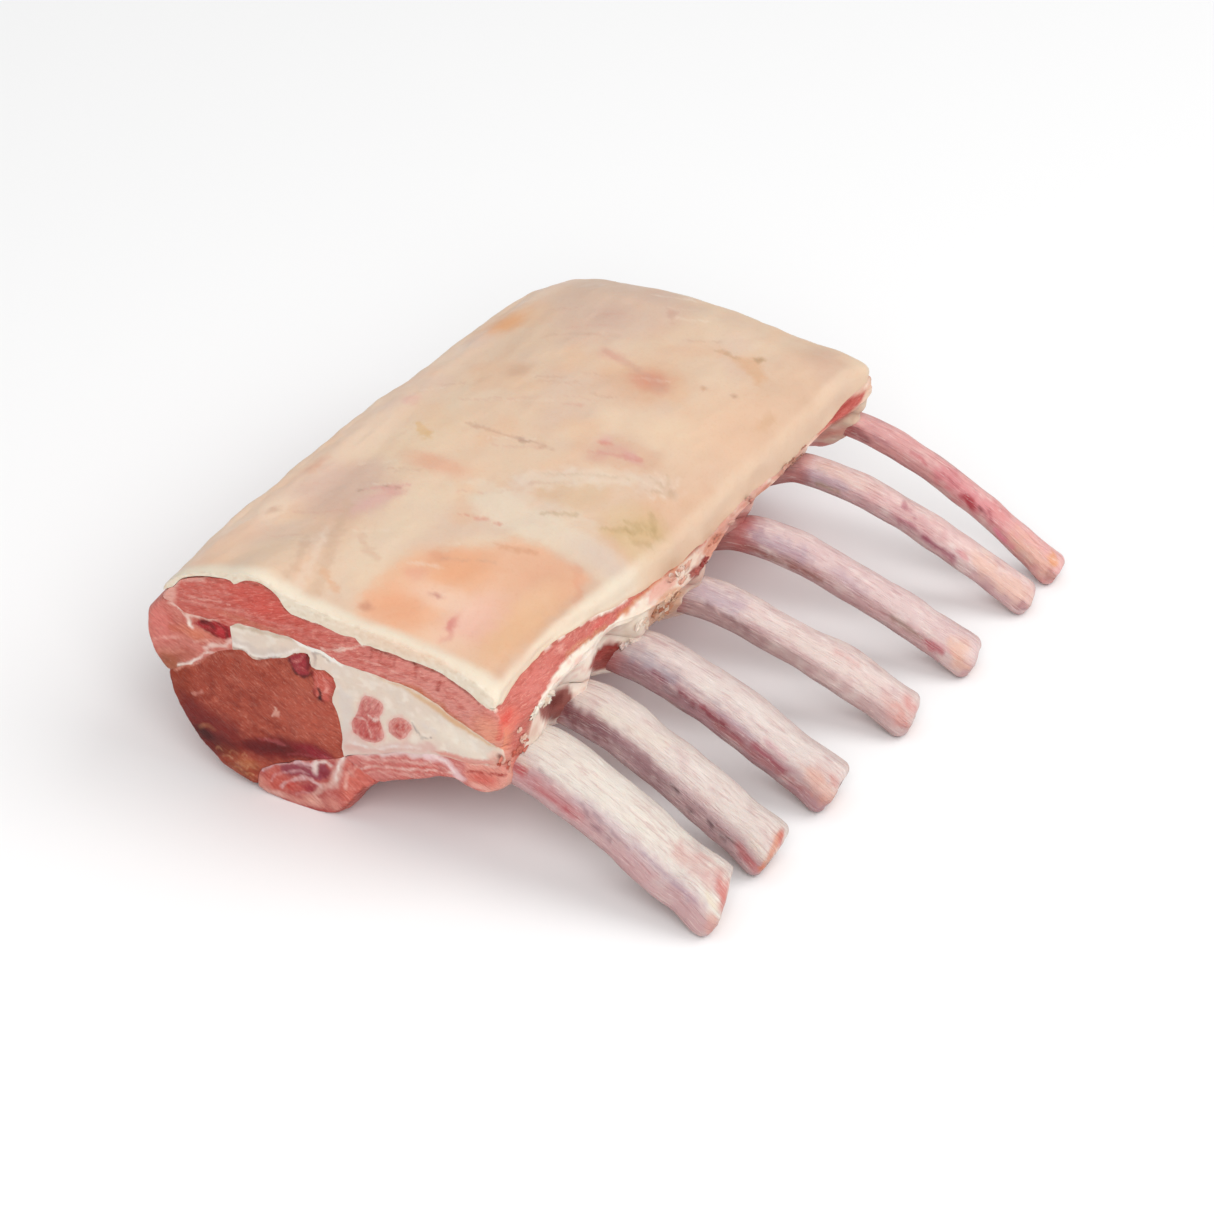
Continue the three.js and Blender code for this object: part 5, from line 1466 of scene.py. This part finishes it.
def open_edge(body, reach):
    """1 on the edges between a cut face and an open side, dying out at the given reach."""
    home = body.values["home"]
    line = np.concatenate([outline_points(name) for name, row in OUTLINE.items() if row[3]])
    to_end = np.minimum(home[:, 1], 1 - home[:, 1]) * LENGTH
    weight = np.zeros(len(home))
    close = to_end < reach
    to_line = distance_to(home[close][:, [0, 2]], line)
    weight[close] = 1 - smoothstep(np.hypot(to_line, to_end[close]), 0, reach)
    return weight


def meat_relief(body, bulge, fibre):
    """Swells the cut faces, more in the middle of a muscle, and draws fibres on them."""
    values = body.values
    on_face = values["side"] != 0
    spots = body.points
    height = np.where(on_face, bulge * (1 - np.exp(-values["depth"] / BULGE_REACH)), 0)
    x, y, z = spots.T
    slanted = np.stack([x * 0.8 + z * 0.6, y, z * 0.8 - x * 0.6], axis=1)
    grain = noise(slanted, (4, 4, 1.3), 91) + 0.6 * noise(slanted, (2.4, 2.4, 0.7), 92)
    fade = smoothstep(values["depth"], 0, 1.2)
    height += np.where(on_face, fibre * grain * fade, 0)
    body.raise_by(height)


def surface_relief(body, lumps, fine, seed):
    """Raises lumps of two sizes, by the heights that are given."""
    spots = body.points
    off_table = smoothstep(spots[:, 2], 0, 2)
    height = lumps * noise(spots, (9, 13, 9), seed) + fine * rough_noise(spots, (3, 4, 3), 2, seed + 5)
    body.raise_by(off_table * height)


def rib_relief(body):
    """Ridges along the bone and lumps, lower on the sawn end and none where the rib rests."""
    values = body.values
    grain = values["grain"]
    ridges = noise(grain, (16, 1.7, 20), 111) + 0.5 * noise(grain, (7, 0.9, 20), 112)
    lumps = noise(body.points, (8, 5, 6), 113)
    resting = 1 - smoothstep(body.points[:, 2], 0.2, 1.6)
    body.raise_by((0.2 * ridges + 0.3 * lumps) * (1 - 0.6 * values["sawn"]) * (1 - resting))


# Ragged scraps along the rib side: layer, middle of the cluster on the side's canvas, its reach both
# ways, number, size and colours.
SCRAPS = [
    ("seam_fat", (-79.4, 30.6), (2.2, 1.7), 16, 1.1, ("dcb09e", "d49a86", "cc8472", "e0bcaa", "c06c5c")),
    ("rib_meat", (-86.6, 29.4), (2.4, 1.6), 8, 1.1, ("cc7e6e", "d69c8c", "c06454")),
    ("seam_fat", (-70, 35.8), (4.0, 0.7), 10, 1.3, ("efe4d4", "e6d6c6", "dcc2ae")),
    ("seam_fat", (-30.6, 28.4), (1.5, 1.1), 14, 1.4, ("e9d8d0", "dcc4bc", "e4cfc2")),
    ("seam_fat", (-23.4, 31.8), (2.0, 1.0), 9, 1.3, ("ead6c6", "dcb8a2", "e6c9b4")),
    ("rib_meat", (-15.6, 31.2), (4.2, 1.2), 24, 1.2, ("dca88a", "e4ba9e", "cc8e70", "ecd0bc", "b87458")),
    ("seam_fat", (-5.6, 35.4), (2.8, 1.0), 12, 1.4, ("ead2c2", "e4c4b4", "d9a694")),
    ("rib_meat", (2.6, 33.2), (2.0, 0.8), 8, 1.1, ("b06058", "8e3c38", "c98276")),
    ("seam_fat", (9, 36), (3.4, 0.9), 12, 1.2, ("d69c88", "c4806c", "dfb2a0")),
    ("seam_fat", (22, 37.2), (5.0, 0.7), 9, 1.0, ("c08678", "b26a62", "d0a090")),
    ("seam_fat", (50, 37.8), (5.0, 0.6), 10, 1.0, ("b4806e", "c09282", "a0685a")),
]
SCRAP_ROUND, SCRAP_TALL = 14, 9  # points round a scrap, and rings from one end to the other
SCRAP_FORM = np.array([0.32, 1.2, 0.6])  # flat on the side, and longest along the backbone


def side_points():
    """The points of the layers on the rib side."""
    layers = [bodies[name] for name in ("cap_muscle", "seam_fat", "rib_meat")]
    return np.concatenate([body.points[body.values["home"][:, 0] > 43] for body in layers])


def side_at(points, y, z):
    """The one of the points that lies nearest to a place on the canvas of the rib side."""
    along_side, up_side = side_canvas(points)
    return points[np.argmin(np.hypot(along_side - y, up_side - z))]


def add_scrap(body, centre, radii, tilt, seed):
    """A ragged lump; returns the numbers of its points."""
    around = np.arange(SCRAP_ROUND) / SCRAP_ROUND * 2 * math.pi
    rise = (np.arange(1, SCRAP_TALL) / SCRAP_TALL - 0.5) * math.pi
    rise, around = (grid.ravel() for grid in np.meshgrid(rise, around, indexing="ij"))
    ball = np.stack([np.cos(rise) * np.cos(around), np.cos(rise) * np.sin(around), np.sin(rise)], axis=1)
    ball = np.concatenate([ball, [[0, 0, -1], [0, 0, 1]]])
    swell = 1 + 0.8 * rough_noise(ball, 0.8, 3, seed)
    lump = ball * swell[:, None] * radii
    tilted = [lump[:, 0], lump[:, 1] * math.cos(tilt) - lump[:, 2] * math.sin(tilt),
              lump[:, 1] * math.sin(tilt) + lump[:, 2] * math.cos(tilt)]
    points = np.array(centre) + np.stack(tilted, axis=1)
    ring = np.arange(SCRAP_ROUND)
    last = (SCRAP_TALL - 2) * SCRAP_ROUND
    quads = np.concatenate([ring_quads(ring, ring + SCRAP_ROUND) + k for k in range(0, last, SCRAP_ROUND)])
    south, north = len(points) - 2, len(points) - 1
    triangles = np.concatenate([ring_fan(ring, south, False), ring_fan(ring + last, north, True)])
    start = len(body.points)
    share = (centre[1] - NEAR_Y) / LENGTH
    home = np.tile([centre[0], share, centre[2]], (len(points), 1))
    flat = np.zeros(len(points))
    body.add(points, quads, triangles, home=home, depth=flat, side=flat)
    return slice(start, len(body.points))


def add_scraps():
    """Adds all scraps; returns each layer's, as the numbers of their points and their colour."""
    points = side_points()
    scraps = {}
    scatter = np.random.default_rng(7)
    for layer, middle, reach, count, size, codes in SCRAPS:
        for _ in range(count):
            y, z = np.array(middle) + scatter.normal(size=2) * reach
            radii = SCRAP_FORM * size * scatter.uniform(0.6, 1.3, 3)
            centre = side_at(points, y, z)
            tilt = scatter.uniform(-0.9, 0.9)
            rows = add_scrap(bodies[layer], centre, radii, tilt, scatter.integers(999))
            scraps.setdefault(layer, []).append((rows, codes[scatter.integers(len(codes))]))
    return scraps


# ---------- Materials ----------


# Tints that the shaders lay over the paint: multiplied with it (dark) or screened over it (light).
PORE_DARK, FAT_DARK, FAT_LIGHT = (0.84, 0.7, 0.6), (0.84, 0.6, 0.5), (0.6, 0.5, 0.4)
FIBRE_DARK, FIBRE_LIGHT, MEAT_DARK = (0.7, 0.5, 0.46), (0.42, 0.2, 0.15), (0.7, 0.5, 0.46)
GRAIN_DARK, BONE_DARK, MARROW_DARK = (0.68, 0.44, 0.46), (0.8, 0.56, 0.56), (0.5, 0.2, 0.18)
SCRAPE_TONE = (0.86, 0.76, 0.7)  # mixed in
DEPTH_OF_LIGHT, LIGHT_REACH = 0.0012, (1.0, 0.45, 0.28)  # metres, and its shares for red, green, blue


class Nodes:
    """Short ways to build a material; sizes are in millimetres."""

    def __init__(self, name):
        self.material = bpy.data.materials.new(name)
        self.material.use_nodes = True
        self.tree = self.material.node_tree
        self.shader = self.tree.nodes["Principled BSDF"]
        self.place = self.vector("MULTIPLY", self.add("TexCoord").outputs["Object"], (1000, 1000, 1000))

    def add(self, kind, **settings):
        node = self.tree.nodes.new("ShaderNode" + kind)
        for key, value in settings.items():
            setattr(node, key, value)
        return node

    def put(self, socket, value):
        if isinstance(value, bpy.types.NodeSocket):
            self.tree.links.new(value, socket)
        else:
            socket.default_value = value

    def vector(self, operation, a, b):
        node = self.add("VectorMath", operation=operation)
        self.put(node.inputs[0], a)
        self.put(node.inputs[1], b)
        return node.outputs[0]

    def math(self, operation, a, b):
        node = self.add("Math", operation=operation)
        self.put(node.inputs[0], a)
        self.put(node.inputs[1], b)
        return node.outputs[0]

    def sum_of(self, *terms):
        """Heights added up, each given with its share."""
        parts = [self.math("MULTIPLY", value, share) for value, share in terms]
        return functools.reduce(lambda a, b: self.math("ADD", a, b), parts)

    def kept(self, name):
        return self.add("Attribute", attribute_name=name)

    def turned(self, degrees):
        """Places turned about Y, so that fibres slant on the cut faces."""
        node = self.add("VectorRotate", rotation_type="EULER_XYZ")
        self.put(node.inputs["Vector"], self.place)
        node.inputs["Rotation"].default_value = (0, math.radians(degrees), 0)
        return node.outputs[0]

    def clouds(self, size, detail=2.0, place=None, rough=0.5, warp=0.0):
        """Noise from 0 to 1 with lumps of the given size along each axis."""
        scaled = self.vector("DIVIDE", place or self.place, size)
        node = self.add("TexNoise")
        self.put(node.inputs["Vector"], scaled)
        node.inputs["Scale"].default_value = 1.0
        node.inputs["Detail"].default_value = detail
        node.inputs["Roughness"].default_value = rough
        node.inputs["Distortion"].default_value = warp
        return node.outputs[0]

    def between(self, value, low, high, start=0.0, end=1.0):
        """A smooth step of the value from low to high, as a number from start to end."""
        node = self.add("MapRange", interpolation_type="SMOOTHSTEP")
        for key, number in (("From Min", low), ("From Max", high), ("To Min", start), ("To Max", end)):
            node.inputs[key].default_value = number
        self.put(node.inputs["Value"], value)
        return node.outputs[0]

    def mix(self, share, a, b, blend="MIX"):
        node = self.add("Mix", data_type="RGBA", blend_type=blend)
        self.put(node.inputs[0], share)
        for socket, value in ((node.inputs[6], a), (node.inputs[7], b)):
            self.put(socket, value if isinstance(value, bpy.types.NodeSocket) else (*value, 1))
        return node.outputs[2]

    def shade(self, tone, rough, height):
        """Joins colour, roughness and height (in mm) to the shader."""
        bump = self.add("Bump")
        bump.inputs["Strength"].default_value = 1.0
        bump.inputs["Distance"].default_value = 0.001
        self.put(bump.inputs["Height"], height)
        self.put(self.shader.inputs["Normal"], bump.outputs[0])
        self.put(self.shader.inputs["Base Color"], tone)
        self.put(self.shader.inputs["Roughness"], rough)
        self.shader.inputs["Specular IOR Level"].default_value = 0.22
        self.shader.inputs["Subsurface Weight"].default_value = 0.15
        self.shader.inputs["Subsurface Radius"].default_value = LIGHT_REACH
        self.shader.inputs["Subsurface Scale"].default_value = DEPTH_OF_LIGHT
        self.shader.inputs["Coat Weight"].default_value = 0.06
        self.shader.inputs["Coat Roughness"].default_value = 0.25
        return self.material


def tissue(name, turn):
    """The painted colour, with fibres where it is lean, and fine pores and veins where it is fat."""
    nodes = Nodes(name)
    paint = nodes.kept("paint").outputs["Vector"]
    lean = nodes.kept("lean").outputs["Fac"]
    turned_place = nodes.turned(turn)
    fibre = nodes.clouds((3.2, 3.2, 0.5), 3, turned_place, rough=0.6, warp=0.6)
    streak = nodes.clouds((1.7, 1.7, 0.3), 2, turned_place, warp=1.4)
    grain = nodes.clouds((0.7, 0.9, 0.7), 3, rough=0.6)
    cloud = nodes.clouds((5, 6, 5), 3)
    vein = nodes.clouds((7, 8, 7), 3, rough=0.55, warp=0.8)

    even = nodes.mix(nodes.between(grain, 0.5, 0.75, 0.0, 0.16), paint, PORE_DARK, "MULTIPLY")
    even = nodes.mix(nodes.between(vein, 0.5, 0.68, 0.0, 0.03), even, FAT_LIGHT, "SCREEN")
    even = nodes.mix(nodes.between(vein, 0.46, 0.3, 0.0, 0.05), even, FAT_DARK, "MULTIPLY")
    parts = nodes.add("SeparateXYZ")
    nodes.put(parts.inputs[0], paint)
    paleness = nodes.between(parts.outputs[0], 0.12, 0.4, 0, 0.45)
    pale_share = nodes.math("MULTIPLY", nodes.between(streak, 0.55, 0.67), paleness)
    dark_share = nodes.math("MULTIPLY", nodes.between(fibre, 0.52, 0.36), 0.5)
    meat = nodes.mix(dark_share, paint, FIBRE_DARK, "MULTIPLY")
    meat = nodes.mix(nodes.between(cloud, 0.45, 0.25, 0.0, 0.14), meat, MEAT_DARK, "MULTIPLY")
    meat = nodes.mix(pale_share, meat, FIBRE_LIGHT, "SCREEN")

    fat_height = nodes.sum_of((grain, 0.025), (vein, 0.04))
    meat_height = nodes.sum_of((fibre, 0.3), (streak, 0.14))
    height = nodes.add("Mix", data_type="FLOAT")
    nodes.put(height.inputs[0], lean)
    nodes.put(height.inputs[2], fat_height)
    nodes.put(height.inputs[3], meat_height)
    rough = nodes.between(cloud, 0.3, 0.7, 0.36, 0.56)
    return nodes.shade(nodes.mix(lean, even, meat), rough, height.outputs[0])


def bare_bone(name):
    """The painted colour with a lengthwise grain, fine scrapes and pits."""
    nodes = Nodes(name)
    paint = nodes.kept("paint").outputs["Vector"]
    lengthwise = nodes.kept("grain").outputs["Vector"]
    sawn = nodes.kept("sawn").outputs["Fac"]
    grain = nodes.clouds((7, 0.5, 40), 3, lengthwise, rough=0.65, warp=0.3)
    scrape = nodes.clouds((3.6, 0.32, 40), 3, lengthwise, rough=0.6, warp=0.8)
    pits = nodes.clouds((0.9, 0.6, 0.9), 2, rough=0.6)
    cloud = nodes.clouds((6, 4, 6), 2)
    tone = nodes.mix(nodes.between(grain, 0.48, 0.32, 0.0, 0.44), paint, GRAIN_DARK, "MULTIPLY")
    tone = nodes.mix(nodes.between(scrape, 0.54, 0.68, 0.0, 0.28), tone, SCRAPE_TONE)
    tone = nodes.mix(nodes.between(cloud, 0.45, 0.25, 0.0, 0.2), tone, BONE_DARK, "MULTIPLY")
    sawn_tone = nodes.mix(nodes.between(pits, 0.5, 0.35, 0.0, 0.5), tone, MARROW_DARK, "MULTIPLY")
    tone = nodes.mix(sawn, tone, sawn_tone)
    rough = nodes.between(cloud, 0.3, 0.7, 0.34, 0.5)
    return nodes.shade(tone, rough, nodes.sum_of((grain, 0.4), (scrape, 0.25), (pits, 0.12)))


# ---------- Pieces ----------

# Each layer: slot, plain colour, whether it is lean, painter, bulge of the cut face and depth of its
# fibres, height of the surface's lumps and of its fine relief, and how far the fibres are turned.
PIECE_FIELDS = ("slot", "base", "lean", "painter", "bulge", "fibre", "lumps", "fine", "turn")
PIECES = {name: dict(zip(PIECE_FIELDS, row)) for name, row in {
    "fat_cap": ("cap_fat", "e6c8ad", 0, paint_fat_cap, 0.1, 0.04, 0.14, 0.03, 0),
    "cap_muscle": ("cap_lean", "cb665b", 1, paint_cap_muscle, 0.5, 0.14, 0.2, 0.15, 20),
    "spine_muscle": ("spine_lean", "c8786c", 1, paint_spine_muscle, 0.6, 0.14, 0.2, 0.1, -25),
    "seam_fat": ("seam_fat", "e2d0c0", 0, paint_seam_fat, -0.1, 0.04, 0.2, 0.12, 0),
    "eye_muscle": ("eye_lean", "9d4838", 1, paint_eye, 1.1, 0.2, 0.2, 0.1, -32),
    "chine_meat": ("chine_lean", "bd605a", 1, paint_chine, 0.6, 0.16, 0.2, 0.1, -35),
    "rib_meat": ("rib_lean", "cf7c75", 1, paint_rib_meat, 0.4, 0.12, 0.25, 0.2, -22),
    "lean_strip_inner": ("strip_lean", "cb7771", 1, paint_strip, 0.3, 0.14, 0, 0, 60),
    "lean_strip_outer": ("strip_lean", "ce8078", 1, paint_strip, 0.3, 0.14, 0, 0, 60),
}.items()}
# How far the light on a piece differs from the rest, made good in its colours.
TONE = {"fat_cap": 0.96, "seam_fat": 0.97, "spine_muscle": 1.08, "eye_muscle": 1.14, "rib_1": 0.93,
        "rib_2": 0.96, "rib_3": 0.97, "rib_5": 1.03, "rib_6": 1.05}
STRIP_SEED, SURFACE_SEED = 20, 120
SCRAP_LEAN = 0.3


def make_bodies():
    strips = {name: curve_points([*loop, loop[0]], HIDDEN_STEP) for name, loop in LEAN_LOOPS.items()}
    made = {}
    for seed, (layer, outlines) in enumerate(LAYERS.items()):
        border = np.concatenate([outline_points(name) for name in outlines])
        tunnels = strips.values() if layer == "seam_fat" else ()
        made[layer] = loft([border, *tunnels], seed)
    for seed, (layer, loop) in enumerate(strips.items(), start=STRIP_SEED):
        made[layer] = loft([loop], seed)
    return made


def make_layer(name, own_scraps, seed):
    piece, body = PIECES[name], bodies[name]
    paint = Paint(body, piece["base"], piece["lean"])
    piece["painter"](paint)
    for rows, code in own_scraps:
        shade = 1 + 0.18 * noise(paint.spots[rows], 1.2, 61)
        paint.colour[rows] = pigment(code) * shade[:, None]
        paint.lean[rows] = SCRAP_LEAN
    paint.keep(TONE.get(name, 1))
    body.relax(2, 0.5, np.maximum(body.values["depth"] > 0, open_edge(body, 2.0)))
    if name == "fat_cap":
        rounded = open_edge(body, 3.0) * smoothstep(body.points[:, 0], -43, -36)
    else:
        rounded = open_edge(body, 1.4)
    body.relax(14, 0.6, rounded)
    surface_relief(body, piece["lumps"], piece["fine"], seed)
    meat_relief(body, piece["bulge"], piece["fibre"])
    body.to_object(name + "_fine", name, piece["slot"], tissue(name, piece["turn"]))


def make_rib(number, rib, material):
    name = f"rib_{number}"
    body = rib_body(number, rib)
    paint = Paint(body, "dccbc4")
    paint_rib(paint, number, rib)
    paint.keep(TONE.get(name, 1))
    body.relax(1, 0.4)
    rib_relief(body)
    body.to_object(name + "_fine", name, "bone", material)


bodies = make_bodies()
scraps = add_scraps()
for seed, name in enumerate(PIECES, start=SURFACE_SEED):
    make_layer(name, scraps.get(name, ()), seed)

bone_material = bare_bone("bone")
for number, rib in enumerate(RIBS, start=1):
    make_rib(number, rib, bone_material)

# ---------- Floor, light and camera ----------

CAMERA_AZIMUTH, CAMERA_ELEVATION = 30.0, 32.3  # degrees
CAMERA_DISTANCE, FLOOR_SIZE = 1.5, 6.0  # metres, like the lights' distances and sizes
LENS, SENSOR_WIDTH = 186.8, 36  # millimetres
SECTION_LOOK_AT = Vector((30.334, -13.272, 25))  # millimetres, in the section's frame
LOOK_AT = (SECTION_LOOK_AT + Vector(SECTION_TO_ROW)) / 1000


def direction(azimuth, elevation):
    """From the rack towards a place so many degrees round it and above the horizon."""
    a, e = math.radians(azimuth), math.radians(elevation)
    return Vector((math.sin(a) * math.cos(e), -math.cos(a) * math.cos(e), math.sin(e)))


def make_camera():
    data = bpy.data.cameras.new("camera")
    data.lens = LENS
    data.sensor_width = SENSOR_WIDTH
    camera = bpy.data.objects.new("camera", data)
    back = direction(CAMERA_AZIMUTH, CAMERA_ELEVATION)
    camera.location = LOOK_AT + back * CAMERA_DISTANCE
    camera.rotation_mode = "QUATERNION"
    camera.rotation_quaternion = (-back).to_track_quat("-Z", "Y")
    bpy.context.scene.collection.objects.link(camera)
    bpy.context.scene.camera = camera


def make_floor():
    mesh = bpy.data.meshes.new("floor")
    half = FLOOR_SIZE / 2
    corners = [(-half, -half, 0), (half, -half, 0), (half, half, 0), (-half, half, 0)]
    mesh.from_pydata(corners, [], [(0, 1, 2, 3)])
    floor = bpy.data.objects.new("floor", mesh)
    material = bpy.data.materials.new("floor")
    material.use_nodes = True
    shader = material.node_tree.nodes["Principled BSDF"]
    shader.inputs["Base Color"].default_value = (0.9, 0.9, 0.9, 1)
    shader.inputs["Roughness"].default_value = 0.8
    shader.inputs["Specular IOR Level"].default_value = 0.1
    mesh.materials.append(material)
    bpy.context.scene.collection.objects.link(floor)


def soft_light(name, azimuth, elevation, distance, size, power):
    data = bpy.data.lights.new(name, "AREA")
    data.shape = "SQUARE"
    data.size = size
    data.energy = power
    light = bpy.data.objects.new(name, data)
    towards = direction(azimuth, elevation)
    light.location = towards * distance
    light.rotation_mode = "QUATERNION"
    light.rotation_quaternion = (-towards).to_track_quat("-Z", "Y")
    bpy.context.scene.collection.objects.link(light)


def make_light():
    world = bpy.data.worlds.new("studio")
    world.use_nodes = True
    background = world.node_tree.nodes["Background"]
    background.inputs["Color"].default_value = (1, 1, 1, 1)
    background.inputs["Strength"].default_value = 0.6
    bpy.context.scene.world = world
    soft_light("top", azimuth=115, elevation=52, distance=1.6, size=1.2, power=10)
    soft_light("front", azimuth=35, elevation=38, distance=2.0, size=1.2, power=22)


make_camera()
make_floor()
make_light()
bpy.context.scene.view_settings.view_transform = "Standard"
